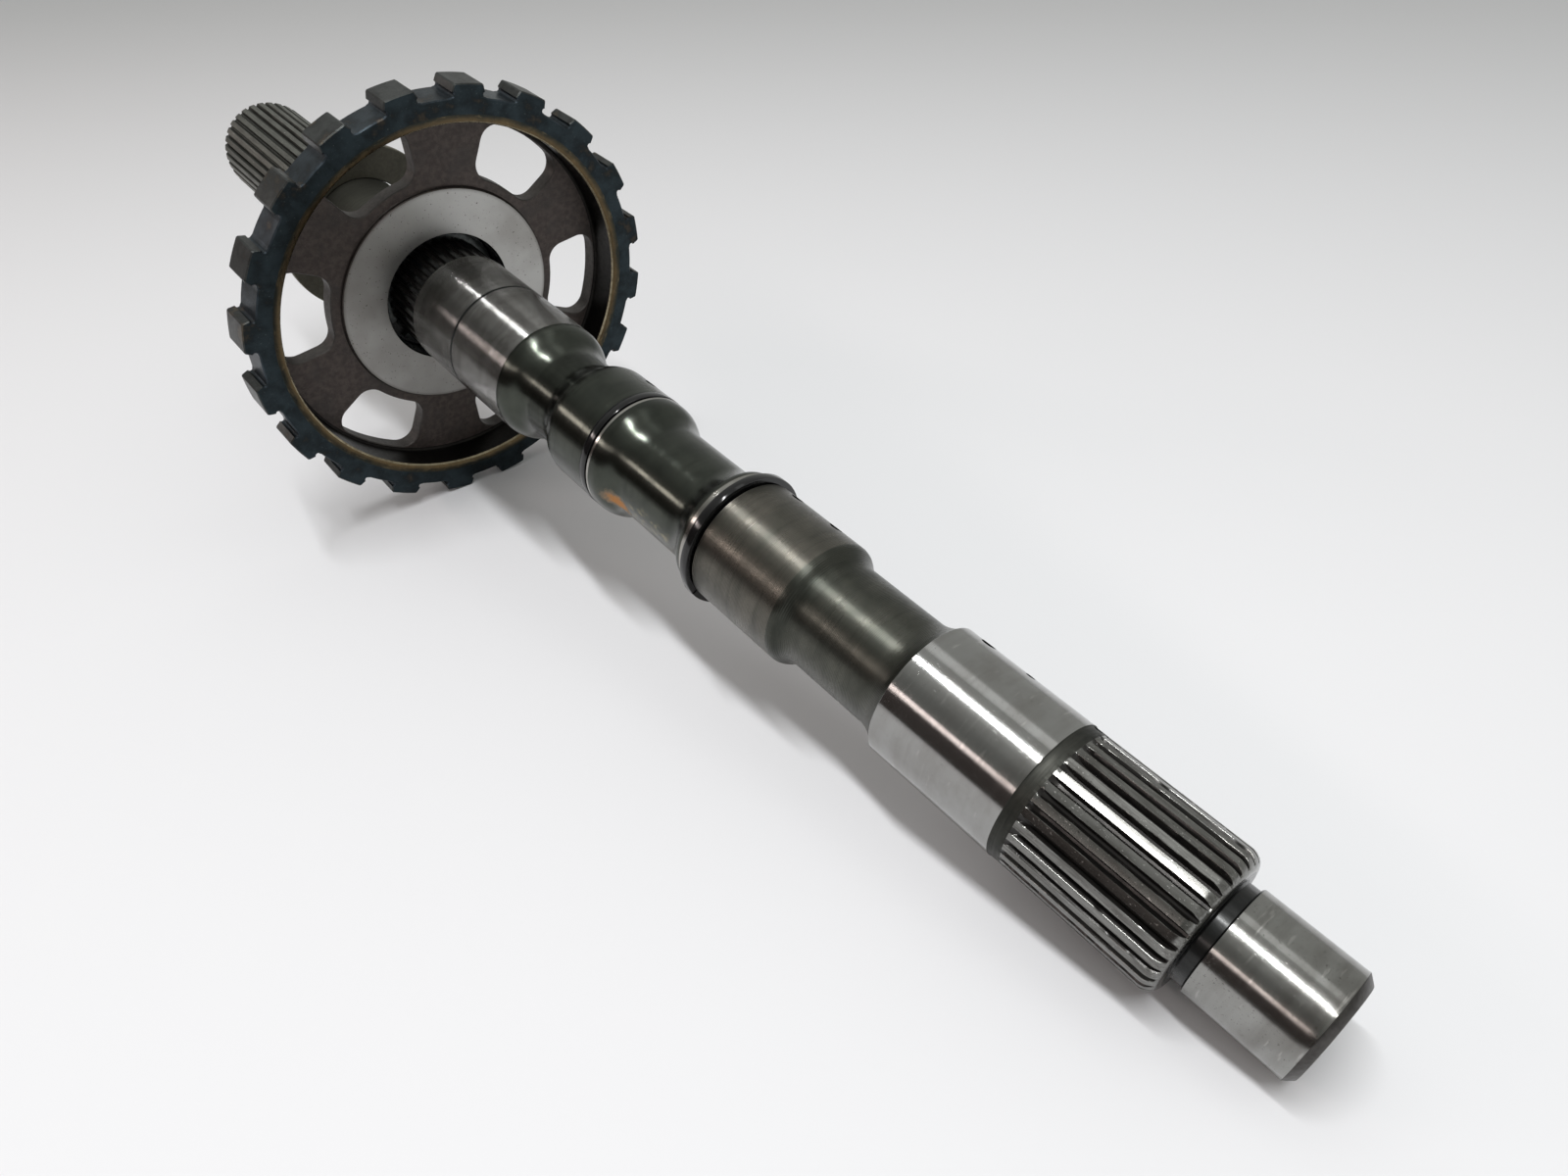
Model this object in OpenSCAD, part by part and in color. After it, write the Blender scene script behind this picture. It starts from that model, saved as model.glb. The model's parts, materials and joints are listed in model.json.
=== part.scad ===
// Gearbox output shaft: a turned oil-fed shaft with three splines, carrying a toothed wheel.
// Stations are distances along the axis, in mm, from the wheel's front face, positive towards the pilot.
// The finished shaft lies on the floor: on the front corners of two wheel teeth, and on the pilot's end edge.

/* [Journals] */
// Radius of the ground journal next to the front spline
front_journal_r = 17.5; // [17.1:0.1:18.2]
// Station where the front journal begins
front_journal_start = 205.5; // [203:0.5:210]
// Station where the front journal ends
front_journal_end = 240.3; // [234:0.1:241]
// Radius of the ground journal next to the wheel
rear_journal_r = 18.4; // [18.2:0.1:20]
// Station where the rear journal begins
rear_journal_start = 1.2; // [0.5:0.1:3]
// Station where the rear journal ends
rear_journal_end = 51.3; // [46:0.1:54]
// Station of the thin groove round the rear journal
rear_journal_groove = 24.7; // [15:0.1:35]
// Width of the thin groove
journal_groove_w = 0.7; // [0.4:0.1:1.5]
// Depth of the thin groove
journal_groove_depth = 0.35; // [0.2:0.05:0.8]

/* [Pilot] */
// Radius of the pilot at the front end
pilot_r = 12.6; // [11.5:0.1:13.6]
// Station where the pilot begins
pilot_start = 283.4; // [282.6:0.1:286]
// Station of the pilot's end face
pilot_end = 306.6; // [302:0.1:315]
// Bevel at the pilot's end, along and across
pilot_bevel = 1.7; // [0.8:0.1:2.5]
// Depth of the relief between the spline's nose and the pilot
relief_depth = 0.8; // [0.3:0.1:1.5]

/* [Splines] */
// Number of teeth on each spline
spline_teeth = 32; // [24:1:40]
// Outer radius of the front and rear splines
spline_r = 17.3; // [16.9:0.1:17.5]
// Outer radius of the spline under the wheel's hub
hub_spline_r = 18; // [17.9:0.05:18.15]
// Depth of the gaps of the front and rear splines
spline_depth = 1.4; // [0.9:0.1:1.6]
// Share of the pitch that a gap takes at the outer radius
gap_share = 0.48; // [0.4:0.01:0.54]
// Slope of a tooth's flank, in degrees
flank_slope = 20; // [5:1:22]
// Radius of the sweep by which the gaps run out
run_out_r = 8; // [4:0.5:12]
// Station where the front spline's gaps begin
front_spline_start = 243.6; // [242:0.1:250]
// Station of the front spline's nose
front_spline_end = 280.6; // [274:0.1:281]
// Rounding of the front spline's nose
nose_round = 3.2; // [1:0.1:4]
// Station of the shaft's rear end face
rear_end = -153.3; // [-170:0.1:-135]
// Rounding of the rear end's edge
rear_round = 2.2; // [0.5:0.1:4]
// Station where the rear spline ends
rear_spline_end = -98; // [-110:0.5:-85]
// Station where the spline under the hub begins
hub_spline_start = -37; // [-42:0.5:-36.5]

/* [Necks and collars] */
// Radius of the rear neck, behind the wheel
rear_neck_r = 16.9; // [16.2:0.1:17]
// Radius of the neck between the rear journal and the rear collar
first_neck_r = 14.2; // [13:0.1:15]
// Station where the first neck begins
first_neck_start = 62; // [58:0.5:64]
// Station where the first neck ends
first_neck_end = 69; // [66:0.5:72]
// Radius of the rear collar
rear_collar_r = 17.7; // [17:0.1:18.3]
// Station where the rear collar begins
rear_collar_start = 79.5; // [77:0.5:84]
// Station where the rear collar ends
rear_collar_end = 98.4; // [97.6:0.1:101]
// Radius of the neck between the collars
middle_neck_r = 14.3; // [13:0.1:15]
// Station where the middle neck begins
middle_neck_start = 108.5; // [106:0.5:112]
// Station where the middle neck ends
middle_neck_end = 128.5; // [124:0.5:131]
// Radius of the front collar
front_collar_r = 17.3; // [16.8:0.1:18]
// Station where the front collar begins
front_collar_start = 137; // [134:0.5:138]
// Station where the front collar ends
front_collar_end = 170.4; // [166:0.1:172]
// Radius of the neck behind the front journal
last_neck_r = 14.6; // [13.5:0.1:15.5]
// Station where the last neck begins
last_neck_start = 177; // [174.5:0.5:182]
// Station where the last neck ends
last_neck_end = 198.5; // [192:0.5:200]

/* [Seal rings] */
// Outer radius of the rear seal ring
rear_seal_r = 17.8; // [17.5:0.1:18.3]
// Station of the rear seal ring's rear face
rear_seal_start = 93.4; // [88:0.1:95]
// Outer radius of the front seal ring
front_seal_r = 18.8; // [18:0.1:19.2]
// Station of the front seal ring's rear face
front_seal_start = 139.4; // [138:0.1:148]
// Width of a seal ring, along the axis
seal_w = 2.4; // [2:0.1:3]
// Play of a seal ring in its groove, along the axis
seal_play = 0.6; // [0.2:0.05:0.9]
// Depth of a seal ring's groove
seal_groove_depth = 2.6; // [2.2:0.1:3.2]
// Radial room under a seal ring
seal_back_room = 0.25; // [0.1:0.05:0.5]
// Width of the cut in a seal ring
seal_cut_w = 0.6; // [0.3:0.1:1.5]
// Angle of the cut round the shaft
seal_cut_angle = -60; // [-120:5:-20]

/* [Oil ways] */
// Radius of the centre bore
oil_bore_r = 4.5; // [3:0.1:6]
// Station where the centre bore ends inside the shaft
oil_bore_floor = 74; // [20:1:80]
// Radius of the mouth of the centre bore's countersink
oil_mouth_r = 5.6; // [5:0.1:8]
// Radius of the centre drilling in the rear end
rear_centre_r = 2.5; // [1.5:0.1:4]
// Depth of the centre drilling in the rear end
rear_centre_depth = 7; // [4:0.5:15]
// Bevel at the mouth of the rear centre drilling
centre_bevel = 1.6; // [0.5:0.1:3]
// Angle of the cross holes round the shaft
oil_angle = 139; // [100:1:175]
// Radius of a main cross hole
oil_hole_r = 1.9; // [1:0.1:2.5]
// Radius of a small cross hole
small_hole_r = 1.2; // [0.6:0.1:1.8]
// Station of the cross hole in the rear collar
rear_collar_hole = 86.1; // [83:0.1:90]
// Station of the first cross hole in the front collar
front_collar_hole = 148.3; // [146:0.1:153]
// Station of the second cross hole in the front collar
second_collar_hole = 162.3; // [158:0.1:166]
// Station of the main cross hole in the front journal
journal_hole = 211.5; // [209:0.1:216]
// Station of the small cross hole in the front journal
small_journal_hole = 223.4; // [220:0.1:230]
// Station of the small cross hole between the front journal and the front spline
band_hole = 241.7; // [241.6:0.1:243]

/* [Wheel] */
// Number of teeth round the wheel
wheel_teeth = 20; // [12:4:28]
// Radius at the teeth's tips
tip_r = 69; // [67:0.5:72]
// Radius at the floor of the gaps between the teeth
root_r = 65.1; // [63:0.1:66.5]
// Width of a tooth at its tip
tooth_tip_w = 9.3; // [7:0.1:11]
// Width of a tooth at its foot
tooth_root_w = 11.4; // [9:0.1:13]
// Radius of the relief cut along the foot of each flank
foot_cut_r = 0.75; // [0.3:0.05:1]
// Bevel at the front and back of the teeth's tips
tip_bevel = 0.5; // [0.2:0.1:1]
// Width of the rim along the axis
rim_w = 11.2; // [9:0.1:14]
// Radius of the rim's bright lip, round its open front
lip_r = 58.3; // [57.6:0.1:60]
// Width of the bright line that the lip's edge makes
lip_line_w = 0.5; // [0.2:0.1:0.9]
// Width of the sloped band from the lip to the front face
lip_band_w = 2.2; // [1:0.1:4]
// Depth of the sloped band at the lip
lip_band_depth = 0.7; // [0.3:0.1:1.5]
// Thickness of the web
web_t = 5.2; // [4:0.1:7]
// Station of the web's front face
web_front = -10.7; // [-12:0.1:-8]
// Fillet where the web meets the rim's wall
web_fillet = 1.2; // [0.5:0.1:2.5]
// Outer radius of the web's back face
web_back_r = 61; // [59:0.1:63]
// How much wider the web's sloped edge is at the back of the rim
back_slope = 2.5; // [0.5:0.1:3]

/* [Wheel windows] */
// Number of windows in the web
windows = 6; // [3:1:8]
// Angle of the first window round the wheel
window_angle = 22.6; // [0:0.1:60]
// Radius at the windows' inner edge
window_in_r = 39; // [38:0.1:42]
// Radius at the windows' outer edge
window_out_r = 56.4; // [52:0.1:56.5]
// Angle that a window spans
window_span = 33; // [20:0.5:36]
// Radius of a window's corners
window_corner_r = 5.5; // [2:0.1:6]

/* [Wheel hub] */
// Radius of the raised hub face
hub_r = 35.8; // [33:0.1:37]
// Station of the hub's front face
hub_front = -9.4; // [-10:0.1:-6]
// Radius of the boss behind the web
boss_r = 25.4; // [24:0.1:28]
// Station of the boss's rear face
hub_back = -32.5; // [-35:0.1:-28]
// Radius of the counterbore in the hub's front
counterbore_r = 21; // [20.4:0.1:23]
// Depth of the counterbore
counterbore_depth = 7.6; // [5:0.1:10]
// Free gap of the hub's spline fit, all round
spline_fit = 0.05; // [0.02:0.01:0.1]

/* [Snap rings] */
// Thickness of a snap ring
snap_t = 1.75; // [1.2:0.05:2.2]
// Outer radius of a snap ring
snap_out_r = 19.9; // [19:0.1:20.2]
// Depth of a snap ring's groove below the hub spline's tips
snap_groove_depth = 1.5; // [1.2:0.1:2]
// Play of a snap ring in its groove
snap_play = 0.05; // [0.02:0.01:0.15]
// Width of a snap ring's opening
snap_opening = 7; // [4:0.5:10]
// Angle of the openings round the shaft
snap_angle = -60; // [-180:5:180]

/* [Thrust washer] */
// Radius of the washer's bore
washer_bore_r = 18.3; // [18.1:0.1:19]
// Outer radius of the washer
washer_r = 30; // [26:0.5:33]
// Thickness of the washer
washer_t = 2.5; // [1.5:0.1:4]
// Station of the washer's front face
washer_front = -70.4; // [-80:0.1:-50]
// Gap left where the washer hangs on the neck
hang_gap = 0.03; // [0.01:0.01:0.1]

/* [Hidden] */
$fn = 96;
// Overlap of cutting shapes past the face that they cut
over = 1;
// How far a gap's plan goes in below the spline's floor
under = 0.1;
// Reach of a groove's cutting shape, past every radius of the part
far = 80;
// Spline gap, measured at the outer radius of the front spline
pitch_angle = 360 / spline_teeth;
gap_w = gap_share * pitch_angle * PI / 180 * spline_r;
spline_floor = spline_r - spline_depth;
hub_spline_floor = rear_neck_r + spline_fit;
run_out = sqrt(run_out_r * run_out_r - pow(run_out_r - spline_depth, 2));
// Seal ring and snap ring grooves
front_groove_floor = front_collar_r - seal_groove_depth;
rear_groove_floor = rear_collar_r - seal_groove_depth;
snap_floor = hub_spline_r - snap_groove_depth;
snap_in_r = snap_floor + snap_play;
snap_front_seat = hub_front - counterbore_depth;
// Wheel
tooth_angle = 360 / wheel_teeth;
tip_half_angle = asin(tooth_tip_w / 2 / tip_r);
web_back = web_front - web_t;
// Lie on the floor: the lowest teeth stand half a pitch to either side of the bottom
contact_drop = tip_r * cos(tooth_angle / 2 - tip_half_angle);
contact_station = -tip_bevel;
pilot_edge = pilot_end - pilot_bevel;
tilt = atan((contact_drop - pilot_r) / (pilot_edge - contact_station));
lift = contact_drop * cos(tilt) + contact_station * sin(tilt);
rear_reach = (rear_end + rear_round) * cos(tilt) - (spline_r - rear_round) * sin(tilt) - rear_round;
front_reach = pilot_end * cos(tilt) + (pilot_r - pilot_bevel) * sin(tilt);
centre_shift = -(rear_reach + front_reach) / 2;

// Lays what is drawn along +Z down on the floor, with local +X turned to face down
module lie() {
    translate([centre_shift, 0, lift]) rotate([0, 90 + tilt, 0]) children();
}

// Half section of a plain turned length
module land(from, to, r) {
    translate([0, from]) square([r, to - from]);
}

// Half section of a rise between two radii by two equal arcs, hollow at the thin end and full at the thick end
module ogee(thin_at, thin_r, thick_at, thick_r) {
    run = abs(thick_at - thin_at);
    rise = thick_r - thin_r;
    arc_r = (run * run + rise * rise) / (4 * rise);
    middle_at = (thin_at + thick_at) / 2;
    middle_r = (thin_r + thick_r) / 2;
    difference() {
        land(min(thin_at, middle_at), max(thin_at, middle_at), middle_r);
        translate([thin_r + arc_r, thin_at]) circle(arc_r);
    }
    intersection() {
        land(min(middle_at, thick_at), max(middle_at, thick_at), thick_r);
        union() {
            translate([thick_r - arc_r, thick_at]) circle(arc_r);
            land(min(middle_at, thick_at), max(middle_at, thick_at), thick_r - arc_r);
        }
    }
}

// Half section of a length whose far edge is rounded
module rounded_end(from, to, r, round_r) {
    way = sign(to - from);
    land(min(from, to - way * round_r), max(from, to - way * round_r), r);
    land(min(from, to), max(from, to), r - round_r);
    translate([r - round_r, to - way * round_r]) circle(round_r);
}

// Half section of a hollow sweep up to a shoulder, ending square
module hollow_rise(thin_at, thin_r, thick_at, thick_r) {
    run = abs(thick_at - thin_at);
    rise = thick_r - thin_r;
    arc_r = (run * run + rise * rise) / (2 * rise);
    difference() {
        land(min(thin_at, thick_at), max(thin_at, thick_at), thick_r);
        translate([thin_r + arc_r, thin_at]) circle(arc_r);
    }
}

// Half section of a groove to be cut
module groove(from, to, floor_r) {
    translate([floor_r, from]) square([far, to - from]);
}

module shaft_outline() {
    difference() {
        union() {
            rounded_end(rear_spline_end, rear_end, spline_r, rear_round);
            land(rear_spline_end, hub_spline_start, rear_neck_r);
            land(hub_spline_start, rear_journal_start, hub_spline_r);
            land(rear_journal_start, rear_journal_end, rear_journal_r);
            ogee(first_neck_start, first_neck_r, rear_journal_end, rear_journal_r);
            land(first_neck_start, first_neck_end, first_neck_r);
            ogee(first_neck_end, first_neck_r, rear_collar_start, rear_collar_r);
            land(rear_collar_start, rear_collar_end, rear_collar_r);
            ogee(middle_neck_start, middle_neck_r, rear_collar_end, rear_collar_r);
            land(middle_neck_start, middle_neck_end, middle_neck_r);
            ogee(middle_neck_end, middle_neck_r, front_collar_start, front_collar_r);
            land(front_collar_start, front_collar_end, front_collar_r);
            ogee(last_neck_start, last_neck_r, front_collar_end, front_collar_r);
            land(last_neck_start, last_neck_end, last_neck_r);
            hollow_rise(last_neck_end, last_neck_r, front_journal_start, front_journal_r);
            land(front_journal_start, front_journal_end, front_journal_r);
            rounded_end(front_journal_end, front_spline_end, spline_r, nose_round);
            land(front_spline_end, pilot_start, pilot_r - relief_depth);
            land(pilot_start, pilot_end - pilot_bevel, pilot_r);
            polygon([[0, pilot_end - pilot_bevel], [pilot_r, pilot_end - pilot_bevel],
                [pilot_r - pilot_bevel, pilot_end], [0, pilot_end]]);
        }
        groove(rear_journal_groove, rear_journal_groove + journal_groove_w, rear_journal_r - journal_groove_depth);
        groove(rear_seal_start, rear_seal_start + seal_w + seal_play, rear_groove_floor);
        groove(front_seal_start, front_seal_start + seal_w + seal_play, front_groove_floor);
        groove(snap_front_seat, snap_front_seat + snap_t + snap_play, snap_floor);
        groove(hub_back - snap_t - snap_play, hub_back, snap_floor);
    }
}

// Plan of a spline's gaps, with flanks that close in towards the floor, and each side moved in by a fit
module gap_plan(fit) {
    slope = tan(flank_slope);
    in_r = spline_floor - under;
    out_r = hub_spline_r + over;
    in_half = gap_w / 2 - (spline_r - in_r) * slope - fit;
    out_half = gap_w / 2 + (out_r - spline_r) * slope - fit;
    for (i = [0 : spline_teeth - 1])
        rotate((i + 0.5) * pitch_angle)
            polygon([[in_r, -in_half], [out_r, -out_half], [out_r, out_half], [in_r, in_half]]);
}

// Gaps of a spline that runs out in a sweep at one station, and on past the shaft's end at the other
module spline_gaps(run_out_at, open_at) {
    way = sign(open_at - run_out_at);
    full_at = run_out_at + way * run_out;
    past = open_at + way * over;
    intersection() {
        translate([0, 0, min(run_out_at, past)]) linear_extrude(abs(past - run_out_at)) gap_plan(0);
        rotate_extrude() {
            translate([spline_floor, min(full_at, past)]) square([spline_depth + 2 * over, abs(past - full_at)]);
            translate([spline_floor + run_out_r, full_at]) circle(run_out_r);
        }
    }
}

module cross_hole(at, r) {
    translate([0, 0, at]) rotate([0, 90, oil_angle]) cylinder(h = rear_journal_r + over, r = r);
}

module output_shaft() {
    color("slategray") lie() difference() {
        rotate_extrude() shaft_outline();
        spline_gaps(front_spline_start, front_spline_end);
        spline_gaps(rear_spline_end, rear_end);
        translate([0, 0, hub_spline_start]) linear_extrude(rear_journal_start - hub_spline_start) difference() {
            gap_plan(0);
            circle(hub_spline_floor);
        }
        translate([0, 0, oil_bore_floor]) cylinder(h = pilot_end - oil_bore_floor + over, r = oil_bore_r);
        translate([0, 0, pilot_end - (oil_mouth_r - oil_bore_r)])
            cylinder(h = 2 * (oil_mouth_r - oil_bore_r), r1 = oil_bore_r, r2 = 2 * oil_mouth_r - oil_bore_r);
        translate([0, 0, rear_end - over]) cylinder(h = rear_centre_depth + over, r = rear_centre_r);
        translate([0, 0, rear_end - centre_bevel])
            cylinder(h = 2 * centre_bevel, r1 = rear_centre_r + 2 * centre_bevel, r2 = rear_centre_r);
        cross_hole(rear_collar_hole, oil_hole_r);
        cross_hole(front_collar_hole, oil_hole_r);
        cross_hole(second_collar_hole, oil_hole_r);
        cross_hole(journal_hole, oil_hole_r);
        cross_hole(small_journal_hole, small_hole_r);
        cross_hole(band_hole, small_hole_r);
    }
}

// Bore of the hub: its teeth stand in the gaps of the spline below with room on every side
module hub_bore_plan() {
    difference() {
        circle(hub_spline_r + spline_fit);
        difference() {
            gap_plan(spline_fit);
            circle(hub_spline_floor + spline_fit);
        }
    }
}

module wheel_outline() {
    wall_r = lip_r - lip_line_w;
    difference() {
        union() {
            polygon([[0, -rim_w], [tip_r - tip_bevel, -rim_w], [tip_r, tip_bevel - rim_w],
                [tip_r, -tip_bevel], [tip_r - tip_bevel, 0], [0, 0]]);
            polygon([[0, web_back], [web_back_r, web_back], [web_back_r + back_slope, -rim_w], [0, -rim_w]]);
        }
        // Open front, down to the web
        translate([0, web_front + web_fillet]) square([wall_r, far]);
        translate([0, web_front]) square([wall_r - web_fillet, far]);
        translate([wall_r - web_fillet, web_front + web_fillet]) circle(web_fillet);
        // Bright lip line, and the sloped band outside it
        polygon([[0, -lip_band_depth - lip_line_w], [wall_r, -lip_band_depth - lip_line_w],
            [lip_r, -lip_band_depth], [lip_r + lip_band_w, 0], [lip_r + lip_band_w, over], [0, over]]);
    }
    land(web_back, hub_front, hub_r);
    rounded_end(web_back, hub_back, boss_r, web_fillet);
}

// Plan of one tooth, lying along local +X
module tooth_plan() {
    polygon([[root_r - over, -tooth_root_w / 2], [root_r, -tooth_root_w / 2], [tip_r, -tooth_tip_w / 2],
        [tip_r + over, -tooth_tip_w / 2], [tip_r + over, tooth_tip_w / 2], [tip_r, tooth_tip_w / 2],
        [root_r, tooth_root_w / 2], [root_r - over, tooth_root_w / 2]]);
}

// Plan of all the gaps round the wheel, with a relief cut along the foot of each flank
module tooth_gap_plan() {
    difference() {
        circle(tip_r + over);
        circle(root_r);
        for (i = [0 : wheel_teeth - 1]) rotate((i + 0.5) * tooth_angle) tooth_plan();
    }
    for (i = [0 : wheel_teeth - 1], side = [-1, 1])
        rotate((i + 0.5) * tooth_angle)
            translate([root_r + foot_cut_r, side * (tooth_root_w / 2 - foot_cut_r / 4)]) circle(foot_cut_r);
}

function polar(r, angle) = [r * cos(angle), r * sin(angle)];

// Plan of a ring's sector between two radii, to half an angle on either side of local +X
module sector_plan(in_r, out_r, half_angle) {
    intersection() {
        difference() {
            circle(out_r);
            circle(in_r);
        }
        polygon([[0, 0], polar(2 * out_r, -half_angle), polar(2 * out_r, half_angle)]);
    }
}

// Plan of one window: a sector with its four corners rounded, and sides that point at the axis
module window_plan() {
    half = window_span / 2;
    in_turn_r = window_in_r + window_corner_r;
    out_turn_r = window_out_r - window_corner_r;
    in_turn = half - asin(window_corner_r / in_turn_r);
    out_turn = half - asin(window_corner_r / out_turn_r);
    in_touch = sqrt(pow(in_turn_r, 2) - pow(window_corner_r, 2));
    out_touch = sqrt(pow(out_turn_r, 2) - pow(window_corner_r, 2));
    sector_plan(window_in_r, window_out_r, in_turn);
    sector_plan(in_turn_r, window_out_r, out_turn);
    polygon([polar(in_touch, -half), polar(out_touch, -half), polar(out_turn_r, -out_turn),
        polar(out_turn_r, out_turn), polar(out_touch, half), polar(in_touch, half),
        polar(in_turn_r, in_turn), polar(in_turn_r, -in_turn)]);
    for (side = [-1, 1]) {
        translate(polar(in_turn_r, side * in_turn)) circle(window_corner_r);
        translate(polar(out_turn_r, side * out_turn)) circle(window_corner_r);
    }
}

module ring_gear_flange() {
    color("dimgray") lie() difference() {
        rotate_extrude() wheel_outline();
        translate([0, 0, -rim_w - over]) linear_extrude(rim_w + 2 * over) tooth_gap_plan();
        for (i = [0 : windows - 1])
            rotate(window_angle + i * 360 / windows)
                translate([0, 0, web_back - over]) linear_extrude(web_t + 2 * over) window_plan();
        translate([0, 0, snap_front_seat]) cylinder(h = counterbore_depth + over, r = counterbore_r);
        translate([0, 0, hub_back - over]) linear_extrude(snap_front_seat - hub_back + 2 * over)
            hub_bore_plan();
    }
}

// A split ring between two stations, with a straight cut at one angle
module split_ring(from, width, in_r, out_r, cut_w, cut_angle) {
    translate([0, 0, from]) difference() {
        cylinder(h = width, r = out_r);
        translate([0, 0, -over]) cylinder(h = width + 2 * over, r = in_r);
        rotate(cut_angle) translate([0, -cut_w / 2, -over]) cube([out_r + over, cut_w, width + 2 * over]);
    }
}

module seal_ring_front() {
    color("black") lie()
        split_ring(front_seal_start, seal_w, front_groove_floor + seal_back_room, front_seal_r, seal_cut_w,
            seal_cut_angle);
}

module seal_ring_rear() {
    color("black") lie()
        split_ring(rear_seal_start, seal_w, rear_groove_floor + seal_back_room, rear_seal_r, seal_cut_w,
            seal_cut_angle);
}

module hub_ring_front() {
    color("darkslategray") lie()
        split_ring(snap_front_seat, snap_t, snap_in_r, snap_out_r, snap_opening, snap_angle);
}

module hub_ring_rear() {
    color("darkslategray") lie()
        split_ring(hub_back - snap_t, snap_t, snap_in_r, snap_out_r, snap_opening, snap_angle);
}

module thrust_washer() {
    hang = washer_bore_r - rear_neck_r - hang_gap;
    color("darkkhaki") lie() translate([hang, 0, washer_front - washer_t]) difference() {
        cylinder(h = washer_t, r = washer_r);
        translate([0, 0, -over]) cylinder(h = washer_t + 2 * over, r = washer_bore_r);
    }
}

output_shaft();
ring_gear_flange();
seal_ring_front();
seal_ring_rear();
hub_ring_front();
hub_ring_rear();
thrust_washer();
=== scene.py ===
# %% [markdown]
# A gearbox output shaft carrying a toothed wheel. It lies on the floor as it comes to rest: on two teeth of
# the wheel and on the edge of its thin front end. The imported CAD model gives the place of everything, so it
# is loaded first.

# %% Load the frame
import json
import math
from collections import namedtuple

import bmesh
import bpy
import numpy as np
from mathutils import Matrix, Vector


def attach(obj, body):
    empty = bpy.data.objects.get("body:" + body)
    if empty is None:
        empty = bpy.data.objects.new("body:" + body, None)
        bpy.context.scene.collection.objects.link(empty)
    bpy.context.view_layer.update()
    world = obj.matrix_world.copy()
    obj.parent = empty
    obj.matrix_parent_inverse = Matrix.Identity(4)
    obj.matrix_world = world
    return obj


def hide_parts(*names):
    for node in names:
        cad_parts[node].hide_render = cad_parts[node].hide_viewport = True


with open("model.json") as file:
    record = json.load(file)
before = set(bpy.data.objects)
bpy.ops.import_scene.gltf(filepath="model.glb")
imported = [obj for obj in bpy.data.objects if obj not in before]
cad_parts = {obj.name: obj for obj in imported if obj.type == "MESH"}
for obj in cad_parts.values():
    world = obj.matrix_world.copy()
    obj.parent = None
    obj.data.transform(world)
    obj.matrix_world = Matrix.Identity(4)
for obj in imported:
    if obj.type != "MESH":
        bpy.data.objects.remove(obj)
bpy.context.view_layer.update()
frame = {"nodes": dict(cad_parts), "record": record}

print("nodes", sorted(frame["nodes"]))

# %% [markdown]
# Everything on a turned part is easiest to say as a station along its axis, a radius and an angle round it.
# The record's pilot mount gives a point of the axis and its direction, so the script follows the packed
# model. Angles are measured from straight down, and grow towards +Y.

# %% The shaft's own directions
MM = 0.001
mounts = {mount["name"]: mount for mount in frame["record"]["mounts"]}
pilot_start, pilot_end, pilot_bevel = 283.4, 306.6, 1.7
pilot_middle = (pilot_start + pilot_end - pilot_bevel) / 2
along = np.array(mounts["pilot_pin"]["axis"])
down = np.array([along[2], 0.0, -along[0]])
side = np.array([0.0, 1.0, 0.0])
station_zero = np.array(mounts["pilot_pin"]["pos_m"]) - along * pilot_middle * MM
print("station zero", station_zero.round(5), "tilt", round(math.degrees(math.asin(-along[2])), 2))


def place(station, across_down, across_side):
    """Points in metres: zero + station * along + first offset * down + second offset * side."""
    parts = [np.multiply.outer(np.asarray(value, float), way)
             for value, way in ((station, along), (across_down, down), (across_side, side))]
    return station_zero + MM * (parts[0] + parts[1] + parts[2])


def place_round(station, radius, angle):
    """Points in metres of a radius and an angle in degrees, at a station."""
    turn = np.radians(angle)
    station, radius, turn = np.broadcast_arrays(station, radius, turn)
    return place(station, radius * np.cos(turn), radius * np.sin(turn))


# %% [markdown]
# A mesh here is a patchwork: grids of points and a few flat faces with many corners, put side by side.
# Points that meet are merged afterwards, which closes seams and poles, and then all faces can be turned to
# look outwards.

# %% The patchwork
MERGE_WITHIN = 2e-6
SHARP_ANGLE = 28


def material_named(name):
    """The material of a name, made plain where it is first asked for."""
    return bpy.data.materials.get(name) or bpy.data.materials.new(name)


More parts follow.
